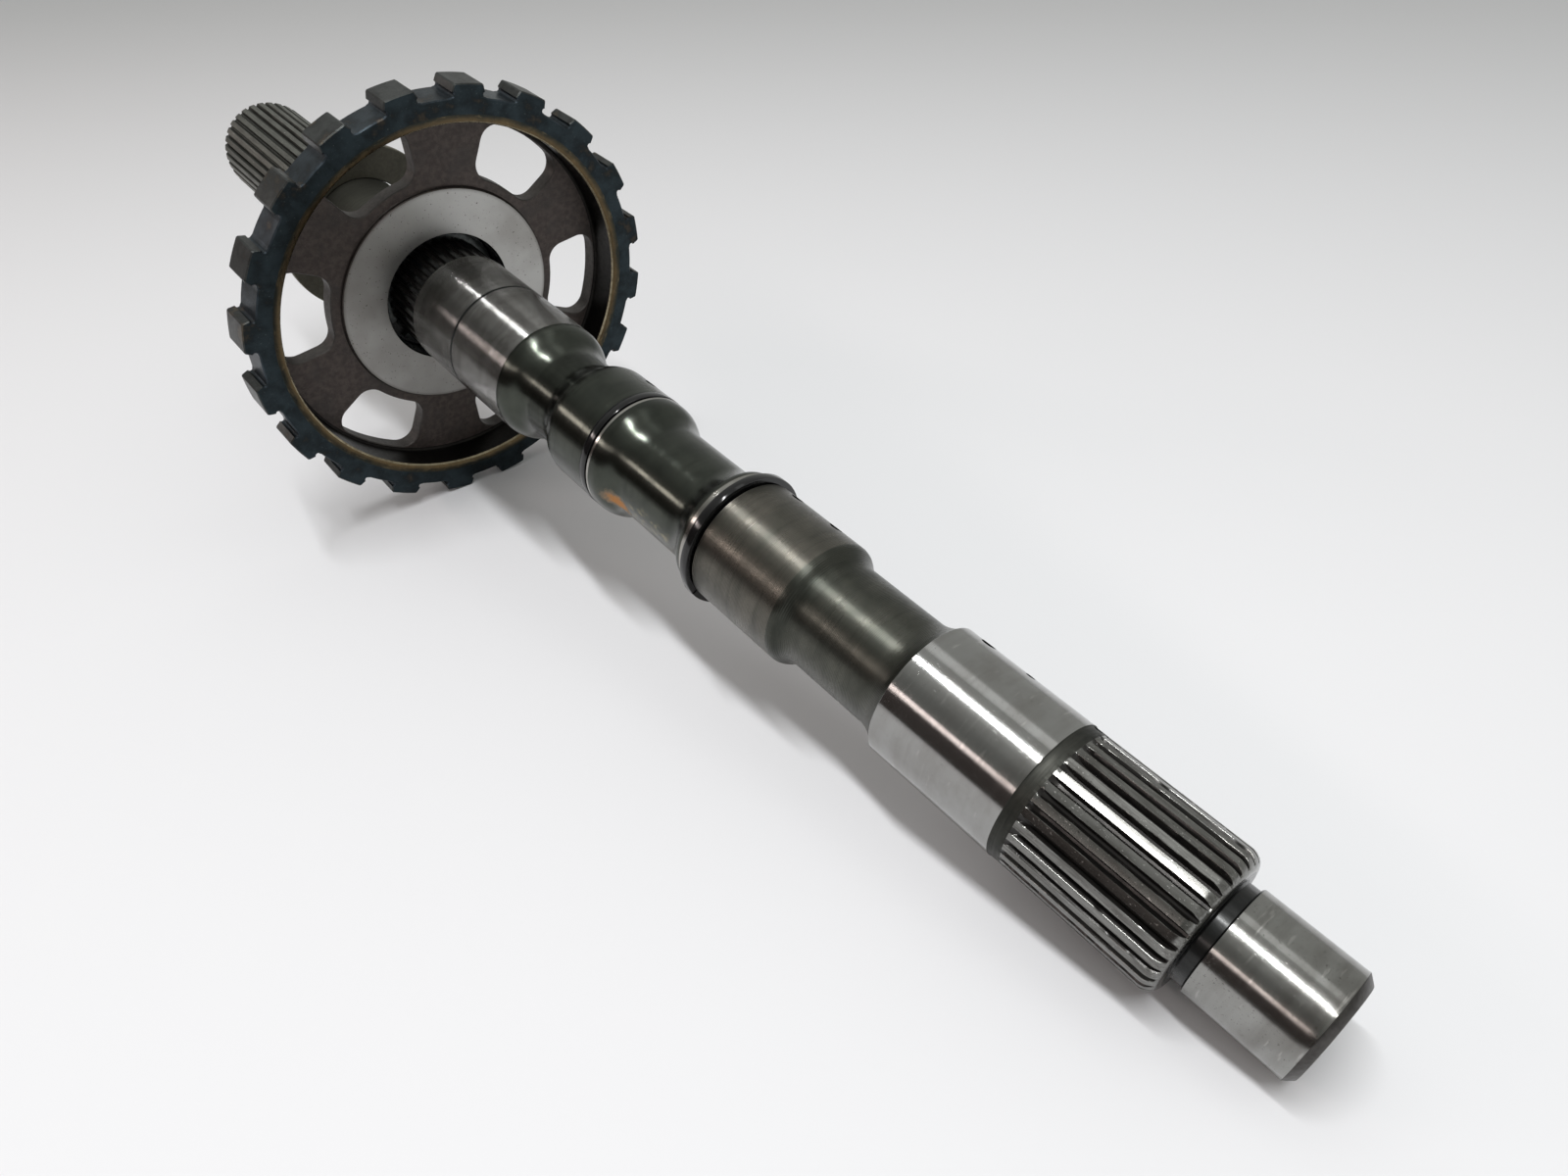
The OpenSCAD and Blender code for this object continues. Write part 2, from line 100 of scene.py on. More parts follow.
class Patchwork:
    """Collects points and faces, each face with the number of its finish."""

    def __init__(self, finishes):
        self.finishes = finishes
        self.points, self.faces, self.finish_of = [], [], []
        self.count = 0

    def add_points(self, points):
        """Keeps an array of points and returns the array of their numbers."""
        numbers = self.count + np.arange(points[..., 0].size).reshape(points.shape[:-1])
        self.points.append(points.reshape(-1, 3))
        self.count += numbers.size
        return numbers

    def add_faces(self, corners, finish):
        """Adds faces from rows of point numbers; finish is a name, or an array of finish numbers."""
        self.faces += corners.tolist()
        if isinstance(finish, str):
            finish = np.full(len(corners), self.finishes.index(finish))
        self.finish_of += finish.tolist()

    def grid(self, points, finish):
        """Quads between neighbouring rows and columns; the last column is joined to the first."""
        numbers = self.add_points(points)
        ahead = np.roll(numbers, -1, axis=1)
        quads = np.stack([numbers[:-1], ahead[:-1], ahead[1:], numbers[1:]], axis=-1)
        if isinstance(finish, np.ndarray):
            finish = np.broadcast_to(finish, quads.shape[:2]).reshape(-1)
        self.add_faces(quads.reshape(-1, 4), finish)
        return numbers

    def make(self, name):
        """The finished object: doubles merged, faces outwards, smooth but for its sharp edges."""
        mesh = bpy.data.meshes.new(name)
        mesh.from_pydata(np.concatenate(self.points), [], self.faces)
        for finish in self.finishes:
            mesh.materials.append(material_named(finish))
        mesh.polygons.foreach_set("material_index", np.array(self.finish_of, np.int32))
        work = bmesh.new()
        work.from_mesh(mesh)
        bmesh.ops.remove_doubles(work, verts=work.verts, dist=MERGE_WITHIN)
        bmesh.ops.recalc_face_normals(work, faces=work.faces)
        open_edges = sum(not edge.is_manifold for edge in work.edges)
        work.to_mesh(mesh)
        work.free()
        piece = bpy.data.objects.new(name, mesh)
        bpy.context.scene.collection.objects.link(piece)
        smooth(piece)
        print(name, "faces", len(mesh.polygons), "open edges", open_edges)
        return piece


def smooth(piece):
    """Smooth shading, broken at edges sharper than the sharp angle."""
    mesh = piece.data
    mesh.polygons.foreach_set("use_smooth", np.ones(len(mesh.polygons), bool))
    mesh.set_sharp_from_angle(angle=math.radians(SHARP_ANGLE))


# %% [markdown]
# The shaft is one turned bar. Its half section is a chain of stretches, written from the rear end to the
# front. A stretch is a set of rows, and a row has a station, an outer radius and the radius at the floor of
# its spline gaps. Where there is no spline, the floor is the outer radius itself. A shoulder could be a
# free curve, but here it is worked out from two arcs that meet with one slope, as a lathe leaves it.

# %% Stretches of the half section
Length = namedtuple("Length", "start end radius")
SPLINE_TEETH = 32
pitch = 360 / SPLINE_TEETH
spline_r, spline_depth, hub_spline_r, neck_r = 17.3, 1.4, 18.0, 16.9
gap_share, flank_slope = 0.48, math.tan(math.radians(20))
gap_half = gap_share * math.radians(pitch) * spline_r / 2
hub_fit = 0.05
spline_floor = spline_r - spline_depth
hub_floor = neck_r + hub_fit
run_out_r = 8.0
run_out = math.sqrt(run_out_r ** 2 - (run_out_r - spline_depth) ** 2)
front_spline_start, front_spline_end = 243.6, 280.6
rear_end, rear_spline_end, hub_spline_start = -153.3, -98.0, -37.0
ROWS = []


def stretch(finish, stations, radii, floors=math.inf):
    """Appends rows. The finish is that of the faces between each row and the one before it."""
    stations, radii = np.broadcast_arrays(np.asarray(stations, float), np.asarray(radii, float))
    ROWS.append((finish, stations, radii, np.minimum(radii, floors)))


def straight(finish, start, end, radius, step, floors=math.inf, skip=0):
    """A length of one radius, with rows less than a step apart; skip=1 leaves out the row at its start."""
    stations = np.linspace(start, end, max(2, int(abs(end - start) / step) + 2))[skip:]
    stretch(finish, stations, radius, floors)


def shoulder(thin_at, thin_r, thick_at, thick_r, hollow_share=0.5):
    """Two arcs between a thin and a thick place that meet with one slope: hollow at the thin end, then full.

    Their radii add up to (run squared + rise squared) / (2 rise), and share the run as they share that sum.
    """
    run, rise = abs(thick_at - thin_at), thick_r - thin_r
    both_r = (run ** 2 + rise ** 2) / (2 * rise)
    hollow_r, full_r = both_r * hollow_share, both_r * (1 - hollow_share)
    joint = thin_at + (thick_at - thin_at) * hollow_share
    hollow_at, full_at = np.linspace(thin_at, joint, 8), np.linspace(joint, thick_at, 8)[1:]
    hollow = thin_r + hollow_r - np.sqrt(hollow_r ** 2 - (hollow_at - thin_at) ** 2)
    full = thick_r - full_r + np.sqrt(full_r ** 2 - (full_at - thick_at) ** 2)
    order = 1 if thick_at > thin_at else -1
    stretch("turned", np.concatenate([hollow_at, full_at])[::order], np.concatenate([hollow, full])[::order])


def gap_floor(stations, full_at):
    """Floor radius of a gap that runs out in a sweep of radius run_out_r, ending run_out past full_at."""
    past = np.clip(np.abs(stations - full_at), 0, run_out)
    return spline_floor + run_out_r - np.sqrt(run_out_r ** 2 - past ** 2)


# %% [markdown]
# The rear of the shaft has a centre drilling, which held it on the lathe, a rounded edge and the rear
# spline. It could be a cylinder with gaps cut out of it, but rows with a lower floor do the same and close
# by themselves. Past the neck stands the middle spline that carries the wheel, with a square groove for
# each snap ring.

# %% The rear end, the rear spline and the neck
drill_bottom, drill_r, drill_bevel = rear_end + 7, 2.5, 1.6
rear_round, edge = 2.2, 0.2
snap_grooves, snap_floor = ((-34.3, -32.5), (-17, -15.2)), hub_spline_r - 1.5
rear_journal = Length(1.2, 51.3, 18.4)
stretch("end_face", [drill_bottom, drill_bottom, rear_end + drill_bevel, rear_end],
        [0, drill_r, drill_r, drill_r + drill_bevel])
turn = np.linspace(0, math.pi / 2, 8)
stretch("end_face", rear_end + rear_round * (1 - np.cos(turn)), spline_r - rear_round * (1 - np.sin(turn)),
        spline_floor)
rear_full = rear_spline_end - run_out
straight("rear_spline", rear_end + rear_round + 0.5, rear_full, spline_r, 3.5, spline_floor)
stations = np.linspace(rear_full, rear_spline_end, 8)[1:]
stretch("rear_spline", stations, spline_r, gap_floor(stations, rear_full))
stretch("neck", [rear_spline_end + edge], spline_r - edge)
straight("neck", rear_spline_end + edge, hub_spline_start, neck_r, 12)
stretch("recess", [hub_spline_start, hub_spline_start + edge], [hub_spline_r - edge, hub_spline_r], hub_floor)
for start, end in snap_grooves:
    stretch("recess", [start, start, end, end],
            [hub_spline_r, snap_floor, snap_floor, hub_spline_r], hub_floor)
stretch("recess", [-8, 0, rear_journal.start], hub_spline_r, hub_floor)
print("the middle spline ends at", rear_journal.start)

# %% [markdown]
# The journal beside the wheel is ground and has one thin groove round it. The groove could be a bump, but a
# few rows close together make it truly deep. Its sides slope a little, so that its edges catch the light as
# broken edges do.

# %% The journal by the wheel, and its thin groove
groove_at, groove_w, groove_depth, groove_slope = 24.7, 0.7, 0.35, 0.15
groove_end = groove_at + groove_w
journal_bevel, soft = 0.4, 0.12
stretch("recess", [rear_journal.start, rear_journal.start + journal_bevel],
        [rear_journal.radius - journal_bevel, rear_journal.radius])
straight("rear_journal", rear_journal.start + journal_bevel, groove_at - soft, rear_journal.radius, 8, skip=1)
stretch("seal_groove",
        [groove_at, groove_at + groove_slope, groove_end - groove_slope, groove_end, groove_end + soft],
        rear_journal.radius - np.array([soft, groove_depth, groove_depth, soft, 0]))
straight("rear_journal", groove_end + soft, rear_journal.end, rear_journal.radius, 8, skip=1)
print("the rear journal ends at", rear_journal.end)

# %% [markdown]
# Between the journals the bar is turned down to necks, and two collars carry the seal rings in square
# grooves. They could be written out row by row, but the same shapes come again, so one function writes a
# collar and another a shoulder. The last neck rises to the front journal in one arc.

# %% Collars and necks, with a square groove for each seal ring
first_neck, middle_neck = Length(62, 69, 14.2), Length(108.5, 128.5, 14.3)
last_neck = Length(177, 198.5, 14.6)
rear_collar, front_collar = Length(79.5, 98.4, 17.7), Length(137, 170.4, 17.3)
front_journal = Length(205.5, 240.3, 17.5)
seal_w, seal_play, seal_groove_depth = 2.4, 0.6, 2.6
seal_rear, seal_front = 93.4, 139.4
narrow_land, left_dull, rubbed_w = 3.0, 0.3, 0.8


def collar(start, end, radius, groove):
    """A turned length with a square groove. A land narrower than narrow_land beside it is rubbed bright."""
    floor = radius - seal_groove_depth
    far = groove + seal_w + seal_play
    before = groove - start - left_dull if groove - start < narrow_land else 0.0
    after = rubbed_w if end - far < narrow_land else 0.0
    straight("turned", start, groove - soft - before, radius, 3, skip=1)
    stretch("ring_land", [groove - soft], radius)
    stretch("seal_groove", [groove, groove, far, far, far + soft],
            [radius - soft, floor, floor, radius - soft, radius])
    stretch("ring_land", [far + soft + after], radius)
    straight("turned", far + soft + after, end, radius, 3)


def neck(behind, length, share=0.5):
    """The shoulder down from the length behind a neck, and the neck itself."""
    shoulder(length.start, length.radius, behind.end, behind.radius, share)
    straight("turned", *length, 6, skip=1)


neck(rear_journal, first_neck)
shoulder(first_neck.end, first_neck.radius, rear_collar.start, rear_collar.radius)
collar(*rear_collar, seal_rear)
neck(rear_collar, middle_neck)
shoulder(middle_neck.end, middle_neck.radius, front_collar.start, front_collar.radius, 0.76)
collar(*front_collar, seal_front)
neck(front_collar, last_neck, 0.66)
run, rise = front_journal.start - last_neck.end, front_journal.radius - last_neck.radius
arc_r = (run ** 2 + rise ** 2) / (2 * rise)
stations = np.linspace(last_neck.end, front_journal.start, 12)[1:]
arc = last_neck.radius + arc_r - np.sqrt(arc_r ** 2 - (stations - last_neck.end) ** 2)
stretch("turned", stations, arc - 0.05)
straight("journal", front_journal.start + 0.08, front_journal.end - 0.1, front_journal.radius, 3)
print("the front journal ends at", front_journal.end, "after an arc of radius", round(arc_r, 1))

# %% [markdown]
# In front of the second journal come a dark band, the front spline with its well rounded nose, a relief
# groove and the pilot. The oil bore could be drilled by a boolean, but it is written as rows too, back from
# its mouth to its bottom, so the bar is one closed surface from one end's drilling to the other's.

# %% The front spline, its nose, the pilot and the oil bore
nose_round, corner = 3.2, 0.1
pilot_r, pilot_lead, relief_depth = 12.6, 0.4, 0.8
bore_r, mouth_r, bore_floor = 4.5, 5.6, 74
stretch("band", [front_journal.end], front_journal.radius - corner)
straight("band", front_journal.end + 0.3, front_spline_start, spline_r, 1)
front_full = front_spline_start + run_out
stations = np.linspace(front_spline_start, front_full, 10)[1:]
stretch("front_spline", stations, spline_r, gap_floor(stations, front_full))
straight("front_spline", front_full, front_spline_end - nose_round, spline_r, 1.6, spline_floor, skip=1)
turn = np.linspace(0, math.pi / 2, 12)[1:]
stretch("front_spline", front_spline_end - nose_round * (1 - np.sin(turn)),
        spline_r - nose_round * (1 - np.cos(turn)), spline_floor)
stretch("relief",
        [front_spline_end, front_spline_end + 0.4, pilot_start, pilot_start + 0.05, pilot_start + pilot_lead],
        pilot_r - np.array([relief_depth - 0.5, relief_depth, relief_depth, 0.35, 0]))
straight("pilot", pilot_start + pilot_lead, pilot_end - pilot_bevel - soft, pilot_r, 2.5, skip=1)
stretch("pilot_edge", [pilot_end - pilot_bevel + corner, pilot_end - corner],
        [pilot_r - 0.08, pilot_r - pilot_bevel + soft])
stretch("end_face", [pilot_end, pilot_end, pilot_end - corner],
        [pilot_r - pilot_bevel - 0.05, mouth_r + corner, mouth_r])
stretch("bore", [pilot_end - (mouth_r - bore_r) - corner], bore_r)
straight("bore", pilot_end - 3, bore_floor, bore_r, 12)
stretch("bore", [bore_floor], 0)
print("rows of the half section", sum(row[1].size for row in ROWS))

# %% [markdown]
# Round the shaft, each spline pitch gets ten columns: the middle of a tooth's land, its two broken edges,
# the two flanks, and the floor of the gap. The flank is a straight line whose half width shrinks with
# depth, as a form cutter leaves it. Where the floor rises to the land the columns close up, and the gap
# runs out by itself.

# %% The shaft's surface
SHAFT_FINISHES = ["end_face", "rear_spline", "rear_gap", "neck", "recess", "rear_journal", "journal",
                  "turned", "ring_land", "seal_groove", "band", "front_spline", "relief", "pilot",
                  "pilot_edge", "bore", "gap"]
IN_GAP = [0, 0, 1, 1, 1, 1, 1, 1, 0, 0]
EDGE_BREAK, EDGE_WEAR, EDGE_ANGLE = 0.09, 0.3, 0.28
foot_rise, full_cut, floor_share = 0.2, 0.5, 0.72


def half_width(radius):
    """Half the width of a spline gap at a radius: its width at the land, less the flank's slope * depth."""
    return gap_half - (spline_r - radius) * flank_slope


def gap_angle(radius, depth_radius):
    """Half the angle that a gap's width takes at a radius, with the width read at depth_radius."""
    return np.degrees(np.arcsin(half_width(depth_radius) / radius))


def spline_columns(radii, floors, wear):
    """Angles and radii of the ten columns of each tooth: rows x teeth x 10.

    Six of them are written, from the middle of the land to the middle of the gap. The other four mirror them.
    """
    outer, floor = radii[:, None], floors[:, None]
    cut = outer - floor
    plain = cut < 1e-6
    broken = outer - np.minimum(EDGE_BREAK * wear, cut * 0.5)
    foot = floor + foot_rise * np.clip(cut / full_cut, 0, 1)
    edge_at = np.where(plain, gap_angle(spline_r, spline_r),
                       gap_angle(np.maximum(outer, 1.0), np.maximum(broken, spline_floor)))
    foot_at = np.where(plain, gap_angle(spline_floor, spline_floor) + 0.6,
                       gap_angle(np.maximum(foot, 1), np.maximum(foot, spline_floor)))
    half = pitch / 2
    angles = [0, half - edge_at - EDGE_ANGLE, half - edge_at, half - foot_at,
              half - floor_share * foot_at, half]
    heights = [np.where(plain, outer, height) for height in (outer, outer, broken, foot, floor, floor)]
    angles += [pitch - angle for angle in angles[4:0:-1]]
    heights += heights[4:0:-1]
    angles, heights = [np.stack([np.broadcast_to(column, wear.shape) for column in columns], axis=-1)
                       for columns in (angles, heights)]
    teeth = np.arange(SPLINE_TEETH) * pitch
    return (angles + teeth[None, :, None]).reshape(radii.size, -1), heights.reshape(radii.size, -1)


def build_shaft():
    """The whole shaft as one closed grid, with the finish of its gaps told from that of its lands."""
    stations, radii, floors = [np.concatenate([row[part] for row in ROWS]) for part in (1, 2, 3)]
    number = SHAFT_FINISHES.index
    finish = np.concatenate([np.full(row[1].size, number(row[0])) for row in ROWS])
    spread = np.random.default_rng(11).standard_normal((stations.size, SPLINE_TEETH)).clip(-1, 1)
    angles, heights = spline_columns(radii, floors, 1 + EDGE_WEAR * spread)
    splined = (radii - floors > 0.02)[:, None] & np.tile(np.array(IN_GAP, bool), SPLINE_TEETH)
    gap = np.where(stations < rear_spline_end + 1, number("rear_gap"), number("gap"))
    finishes = np.where(splined, gap[:, None], finish[:, None])
    work = Patchwork(SHAFT_FINISHES)
    work.grid(place_round(stations[:, None], heights, angles), finishes[1:])
    return work.make("shaft")


shaft = build_shaft()

# %% [markdown]
# Oil reaches the collars and the journal through holes drilled across the shaft. A drilled hole is what a
# boolean is good at: a set of thin cylinders, all at one angle round the shaft, is taken away from the
# closed bar.

# %% The oil holes
oil_angle, drill_length = 139, 25
OIL_HOLES = [(86.1, 1.9), (148.3, 1.9), (162.3, 1.9), (211.5, 1.9), (223.4, 1.2), (241.7, 1.2)]
drills = Patchwork(["bore"])
round_drill = np.linspace(0, 2 * math.pi, 28, endpoint=False)
for station, drill_radius in OIL_HOLES:
    swing = np.array([0, 1, 1, 0])[:, None] * drill_radius
    height = np.array([0, 0, drill_length, drill_length])[:, None] + 0 * round_drill
    turn = math.radians(oil_angle)
    across = swing * np.sin(round_drill)
    points = place(station + swing * np.cos(round_drill), height * math.cos(turn) - across * math.sin(turn),
                   height * math.sin(turn) + across * math.cos(turn))
    drills.grid(points, "bore")
drills = drills.make("drills")


def cut_away(piece, cutter):
    """Takes the cutter out of the piece and deletes it."""
    tool = piece.modifiers.new("drill", "BOOLEAN")
    tool.operation, tool.solver, tool.object = "DIFFERENCE", "MANIFOLD", cutter
    bpy.context.view_layer.update()
    cut = bpy.data.meshes.new_from_object(piece.evaluated_get(bpy.context.evaluated_depsgraph_get()))
    piece.modifiers.remove(tool)
    piece.data = cut
    bpy.data.objects.remove(cutter)
    smooth(piece)
    print(piece.name, "after drilling", len(cut.polygons))


cut_away(shaft, drills)

# %% [markdown]
# The wheel has twenty square teeth with a small round relief at each foot, where they stand on the rim.
# Half of one tooth's outline is written from the middle of its tip to the middle of the gap, in the tooth's
# own directions: outwards and sideways. Mirrored and turned twenty times, it is the rim's outline.

# %% One tooth
WHEEL_TEETH = 20
tip_r, root_r, tip_w, root_w = 69.0, 65.1, 9.3, 11.4
foot_cut_r = 0.75
tooth_pitch = 360 / WHEEL_TEETH
RING_COLUMNS = 240
column_angle = 360 / RING_COLUMNS
tip_half = math.degrees(math.asin(tip_w / 2 / tip_r))


def half_tooth():
    """Outline points (outwards, sideways) in mm from the middle of the tip to the middle of the gap."""
    tip_round = 0.35
    arc = np.radians(np.array([0, 0.34, 0.68, 0.93]) * tip_half)
    tip = np.stack([tip_r * np.cos(arc), tip_r * np.sin(arc)], axis=-1)
    slope = (root_w - tip_w) / 2 / (tip_r - root_r)
    shoulder_out = tip_r * math.cos(math.radians(tip_half)) - tip_round
    shoulder = [[shoulder_out, tip_w / 2 + slope * tip_round]]
    cut_centre = np.array([root_r + foot_cut_r, root_w / 2 - foot_cut_r / 4])
    swing = np.radians(np.linspace(-15, -178, 9))
    relief = cut_centre + foot_cut_r * np.stack([np.cos(swing), np.sin(swing)], axis=-1)
    floor = np.radians([5.35, 6.0, 7.5, 9.0])
    floor = np.stack([root_r * np.cos(floor), root_r * np.sin(floor)], axis=-1)
    return np.concatenate([tip, shoulder, relief, floor])


half = half_tooth()
mirrored = half[-2:0:-1] * [1, -1]
one_tooth = np.concatenate([mirrored, half])
outline_turn = np.radians(tooth_pitch / 2 + tooth_pitch * np.arange(WHEEL_TEETH))[:, None]
cosine, sine = np.cos(outline_turn), np.sin(outline_turn)
rim_outline = np.stack([one_tooth[:, 0] * cosine - one_tooth[:, 1] * sine,
                        one_tooth[:, 0] * sine + one_tooth[:, 1] * cosine], axis=-1)
TOOTH_COLUMNS = one_tooth.shape[0]
print("columns of one tooth", TOOTH_COLUMNS)


def inset(outline, depth):
    """The closed outline moved inwards by a depth, along the mean normal of each point's two edges."""
    ahead = np.roll(outline, -1, axis=0) - outline
    ahead /= np.linalg.norm(ahead, axis=-1, keepdims=True)
    tangent = ahead + np.roll(ahead, 1, axis=0)
    tangent /= np.linalg.norm(tangent, axis=-1, keepdims=True)
    return outline + depth * np.stack([-tangent[:, 1], tangent[:, 0]], axis=-1)


# %% [markdown]
# The wheel is put together from rings. The outer wall follows the toothed outline, and every other ring is
# a plain circle with 240 columns, so that twenty teeth and six windows both come out even. Flat places that
# have a ring on one side and another outline on the other, such as a tooth's face or the web round a
# window, are single faces with many corners: a flat face of any shape needs no grid.

# %% Rings of the wheel
WHEEL_FINISHES = ["rim_side", "rim_face", "tooth_tip", "heat_band", "lip", "wall", "web", "window_wall",
                  "hub_face", "hub_edge", "recess", "boss"]
rim_w, edge_break, back_r, back_foot_r = 11.2, 0.35, 63.5, 60.8
rim_columns = np.arange(RING_COLUMNS) * column_angle
window_angle = 22.6
web_columns = rim_columns + window_angle % column_angle
HELPER_R = 64.2
lip_r, lip_line_w, band_w, band_depth = 58.3, 0.5, 2.2, 0.7
wall_r = lip_r - lip_line_w
web_front, web_t = -10.7, 5.2
web_back = web_front - web_t
web_fillet, window_break = 1.05, 0.3
web_out_r, web_in_r = wall_r - web_fillet, 36.1
print("the web is", web_t, "mm thick between radii", web_in_r, "and", round(web_out_r, 2))


def ring_rows(work, finish, stations, radii, columns):
    """A grid of plain circles, one for each station and radius."""
    stations, radii = np.asarray(stations, float)[:, None], np.asarray(radii, float)[:, None]
    return work.grid(place_round(stations, radii, columns), finish)


def build_rim(work):
    """The toothed wall, the faces of the teeth, and the rings down to the web on both sides."""
    outline = rim_outline.reshape(-1, 2)
    shrunk = inset(outline, edge_break)
    walls = [(0, shrunk), (-edge_break, outline), (edge_break - rim_w, outline), (-rim_w, shrunk)]
    points = np.stack([place(np.full(len(plan), station), plan[:, 0], plan[:, 1]) for station, plan in walls])
    column = np.arange(TOOTH_COLUMNS) - TOOTH_COLUMNS // 2
    number = WHEEL_FINISHES.index
    tip = np.where((column >= -6) & (column < 5), number("tooth_tip"), number("rim_side"))
    numbers = work.grid(points, np.tile(tip, WHEEL_TEETH)[None, :])
    fillet = np.radians(np.linspace(0, 90, 6))
    front = ring_rows(work, "rim_face", [0, 0], [HELPER_R, lip_r + band_w], rim_columns)
    ring_rows(work, "heat_band", [0, -band_depth], [lip_r + band_w, lip_r], rim_columns)
    ring_rows(work, "lip", [-band_depth, -band_depth - lip_line_w], [lip_r, wall_r], rim_columns)
    wall_stations = [-band_depth - lip_line_w, -4, web_front + web_fillet]
    ring_rows(work, "wall", wall_stations, [wall_r] * 3, rim_columns)
    work.grid(place_round((web_front + web_fillet * (1 - np.sin(fillet)))[:, None],
                          (wall_r - web_fillet * (1 - np.cos(fillet)))[:, None],
                          rim_columns + (web_columns - rim_columns) * np.linspace(0, 1, 6)[:, None]), "wall")
    back = ring_rows(work, "rim_side", [-rim_w, -rim_w], [HELPER_R, back_r], rim_columns)
    ring_rows(work, "rim_side", [-rim_w, -rim_w - 0.25, web_back + 0.25, web_back],
              [back_r, 63.25, 61.1, back_foot_r], rim_columns)
    work.grid(place_round(web_back, np.array([back_foot_r, web_out_r])[:, None],
                          np.stack([rim_columns, web_columns])), "web")
    for rim_row, ring in ((numbers[0], front[0]), (numbers[3], back[0])):
        close_teeth(work, rim_row.reshape(WHEEL_TEETH, TOOTH_COLUMNS), ring)


def close_teeth(work, teeth, ring):
    """Flat faces from the toothed outline to the ring inside it: one for each tooth, quads under each gap."""
    per_tooth = RING_COLUMNS // WHEEL_TEETH
    inner = ring.reshape(WHEEL_TEETH, per_tooth)
    gap_end = np.roll(teeth, -1, axis=0)
    inner_ahead = np.roll(inner, -1, axis=0)
    # Ring columns go from the middle of one gap to the next, and the outline starts one column after it
    start, stop = 1, TOOTH_COLUMNS - 3
    tooth_faces = np.concatenate([teeth[:, start:stop + 1], inner[:, per_tooth - 2:1:-1]], axis=1)
    work.add_faces(tooth_faces, "rim_face")
    gap_out = np.concatenate([teeth[:, stop:], gap_end[:, :2]], axis=1)
    gap_in = np.concatenate([inner[:, per_tooth - 2:], inner_ahead[:, :3]], axis=1)
    quads = np.stack([gap_out[:, :-1], gap_out[:, 1:], gap_in[:, 1:], gap_in[:, :-1]], axis=-1)
    work.add_faces(quads.reshape(-1, 4), "rim_face")


# %% [markdown]
# A window is a sector of a ring with rounded corners: two arcs about the axis, two sides that point at the
# axis, and four corner arcs. Growing it by an amount moves the arcs apart and makes the corners larger,
# which gives the broken edge round the window.

# %% Windows and web
WINDOWS = 6
window_in_r, window_out_r, window_span, window_corner_r = 39.0, 56.4, 33.0, 5.5
print("windows", WINDOWS, "from radius", window_in_r, "to", window_out_r)


def window_outline(grow):
    """Points (outwards, sideways) round half a window, from its inner middle to its outer middle."""
    half_span = math.radians(window_span / 2)
    in_turn_r, out_turn_r = window_in_r + window_corner_r, window_out_r - window_corner_r
    in_turn = half_span - math.asin(window_corner_r / in_turn_r)
    out_turn = half_span - math.asin(window_corner_r / out_turn_r)
    corner = window_corner_r + grow
    inner = np.linspace(0, in_turn, 7)
    outer = np.linspace(out_turn, 0, 9)
    in_swing = np.linspace(in_turn + math.pi, half_span + math.pi / 2, 10)
    out_swing = np.linspace(half_span + math.pi / 2, out_turn, 10)
    arcs = [np.stack([np.cos(inner), np.sin(inner)], axis=-1) * (window_in_r - grow)]
    for turn_r, turn, swing in ((in_turn_r, in_turn, in_swing), (out_turn_r, out_turn, out_swing)):
        centre = turn_r * np.array([math.cos(turn), math.sin(turn)])
        arcs.append(centre + corner * np.stack([np.cos(swing), np.sin(swing)], axis=-1))
    arcs.append(np.stack([np.cos(outer), np.sin(outer)], axis=-1) * (window_out_r + grow))
    points = np.concatenate(arcs)
    apart = np.linalg.norm(np.diff(points, axis=0), axis=-1) > 1e-4
    return points[np.concatenate([[True], apart])]


def build_web(work):
    """Both faces of the web with their windows, and the windows' walls."""
    faces = [[work.add_points(place_round(station, radius, web_columns)) for radius in (web_out_r, web_in_r)]
             for station in (web_front, web_back)]
    cell = RING_COLUMNS // WINDOWS
    first = int(window_angle // column_angle)
    layers = [(web_front, window_break), (web_front - window_break, 0), (web_back + window_break, 0),
              (web_back, window_break)]
    for window in range(WINDOWS):
        turn = math.radians(window_angle + window * 360 / WINDOWS)
        half_loops = [window_outline(grow) for _, grow in layers]
        loops = [np.concatenate([half, half[-2:0:-1] * [1, -1]]) for half in half_loops]
        points = np.stack([place(np.full(len(loop), station),
                                 loop[:, 0] * math.cos(turn) - loop[:, 1] * math.sin(turn),
                                 loop[:, 0] * math.sin(turn) + loop[:, 1] * math.cos(turn))
                           for (station, _), loop in zip(layers, loops)])
        numbers = work.grid(points, "window_wall")
        middle, count = first + window * cell, len(half_loops[0])
        for row, (outer, inner) in ((numbers[0], faces[0]), (numbers[3], faces[1])):
            for way, loop in ((1, row[:count]), (-1, np.concatenate([row[:1], row[count - 1:][::-1]]))):
                columns = (middle + way * np.arange(cell // 2 + 1)) % RING_COLUMNS
                work.add_faces(np.concatenate([outer[columns], inner[columns][::-1], loop])[None], "web")


# %% [markdown]
# The hub is a boss with a faced front, a counterbore for a snap ring and a splined bore. The bore's teeth
# stand in the gaps of the shaft's spline with a small gap all round. It has 32 teeth, and so its columns
# don't match the wheel's 240: flat faces with nine corners join four spline columns to three of the plain
# ring.

# %% Hub
hub_r, hub_front, hub_back, boss_r, boss_round = 35.8, -9.4, -32.5, 25.4, 1.2
counterbore_r, counterbore_depth, counterbore_bevel, hub_bevel = 21.0, 7.6, 0.4, 0.3
front_join_r, back_join_r = 18.6, 19
ring_seat = hub_front - counterbore_depth


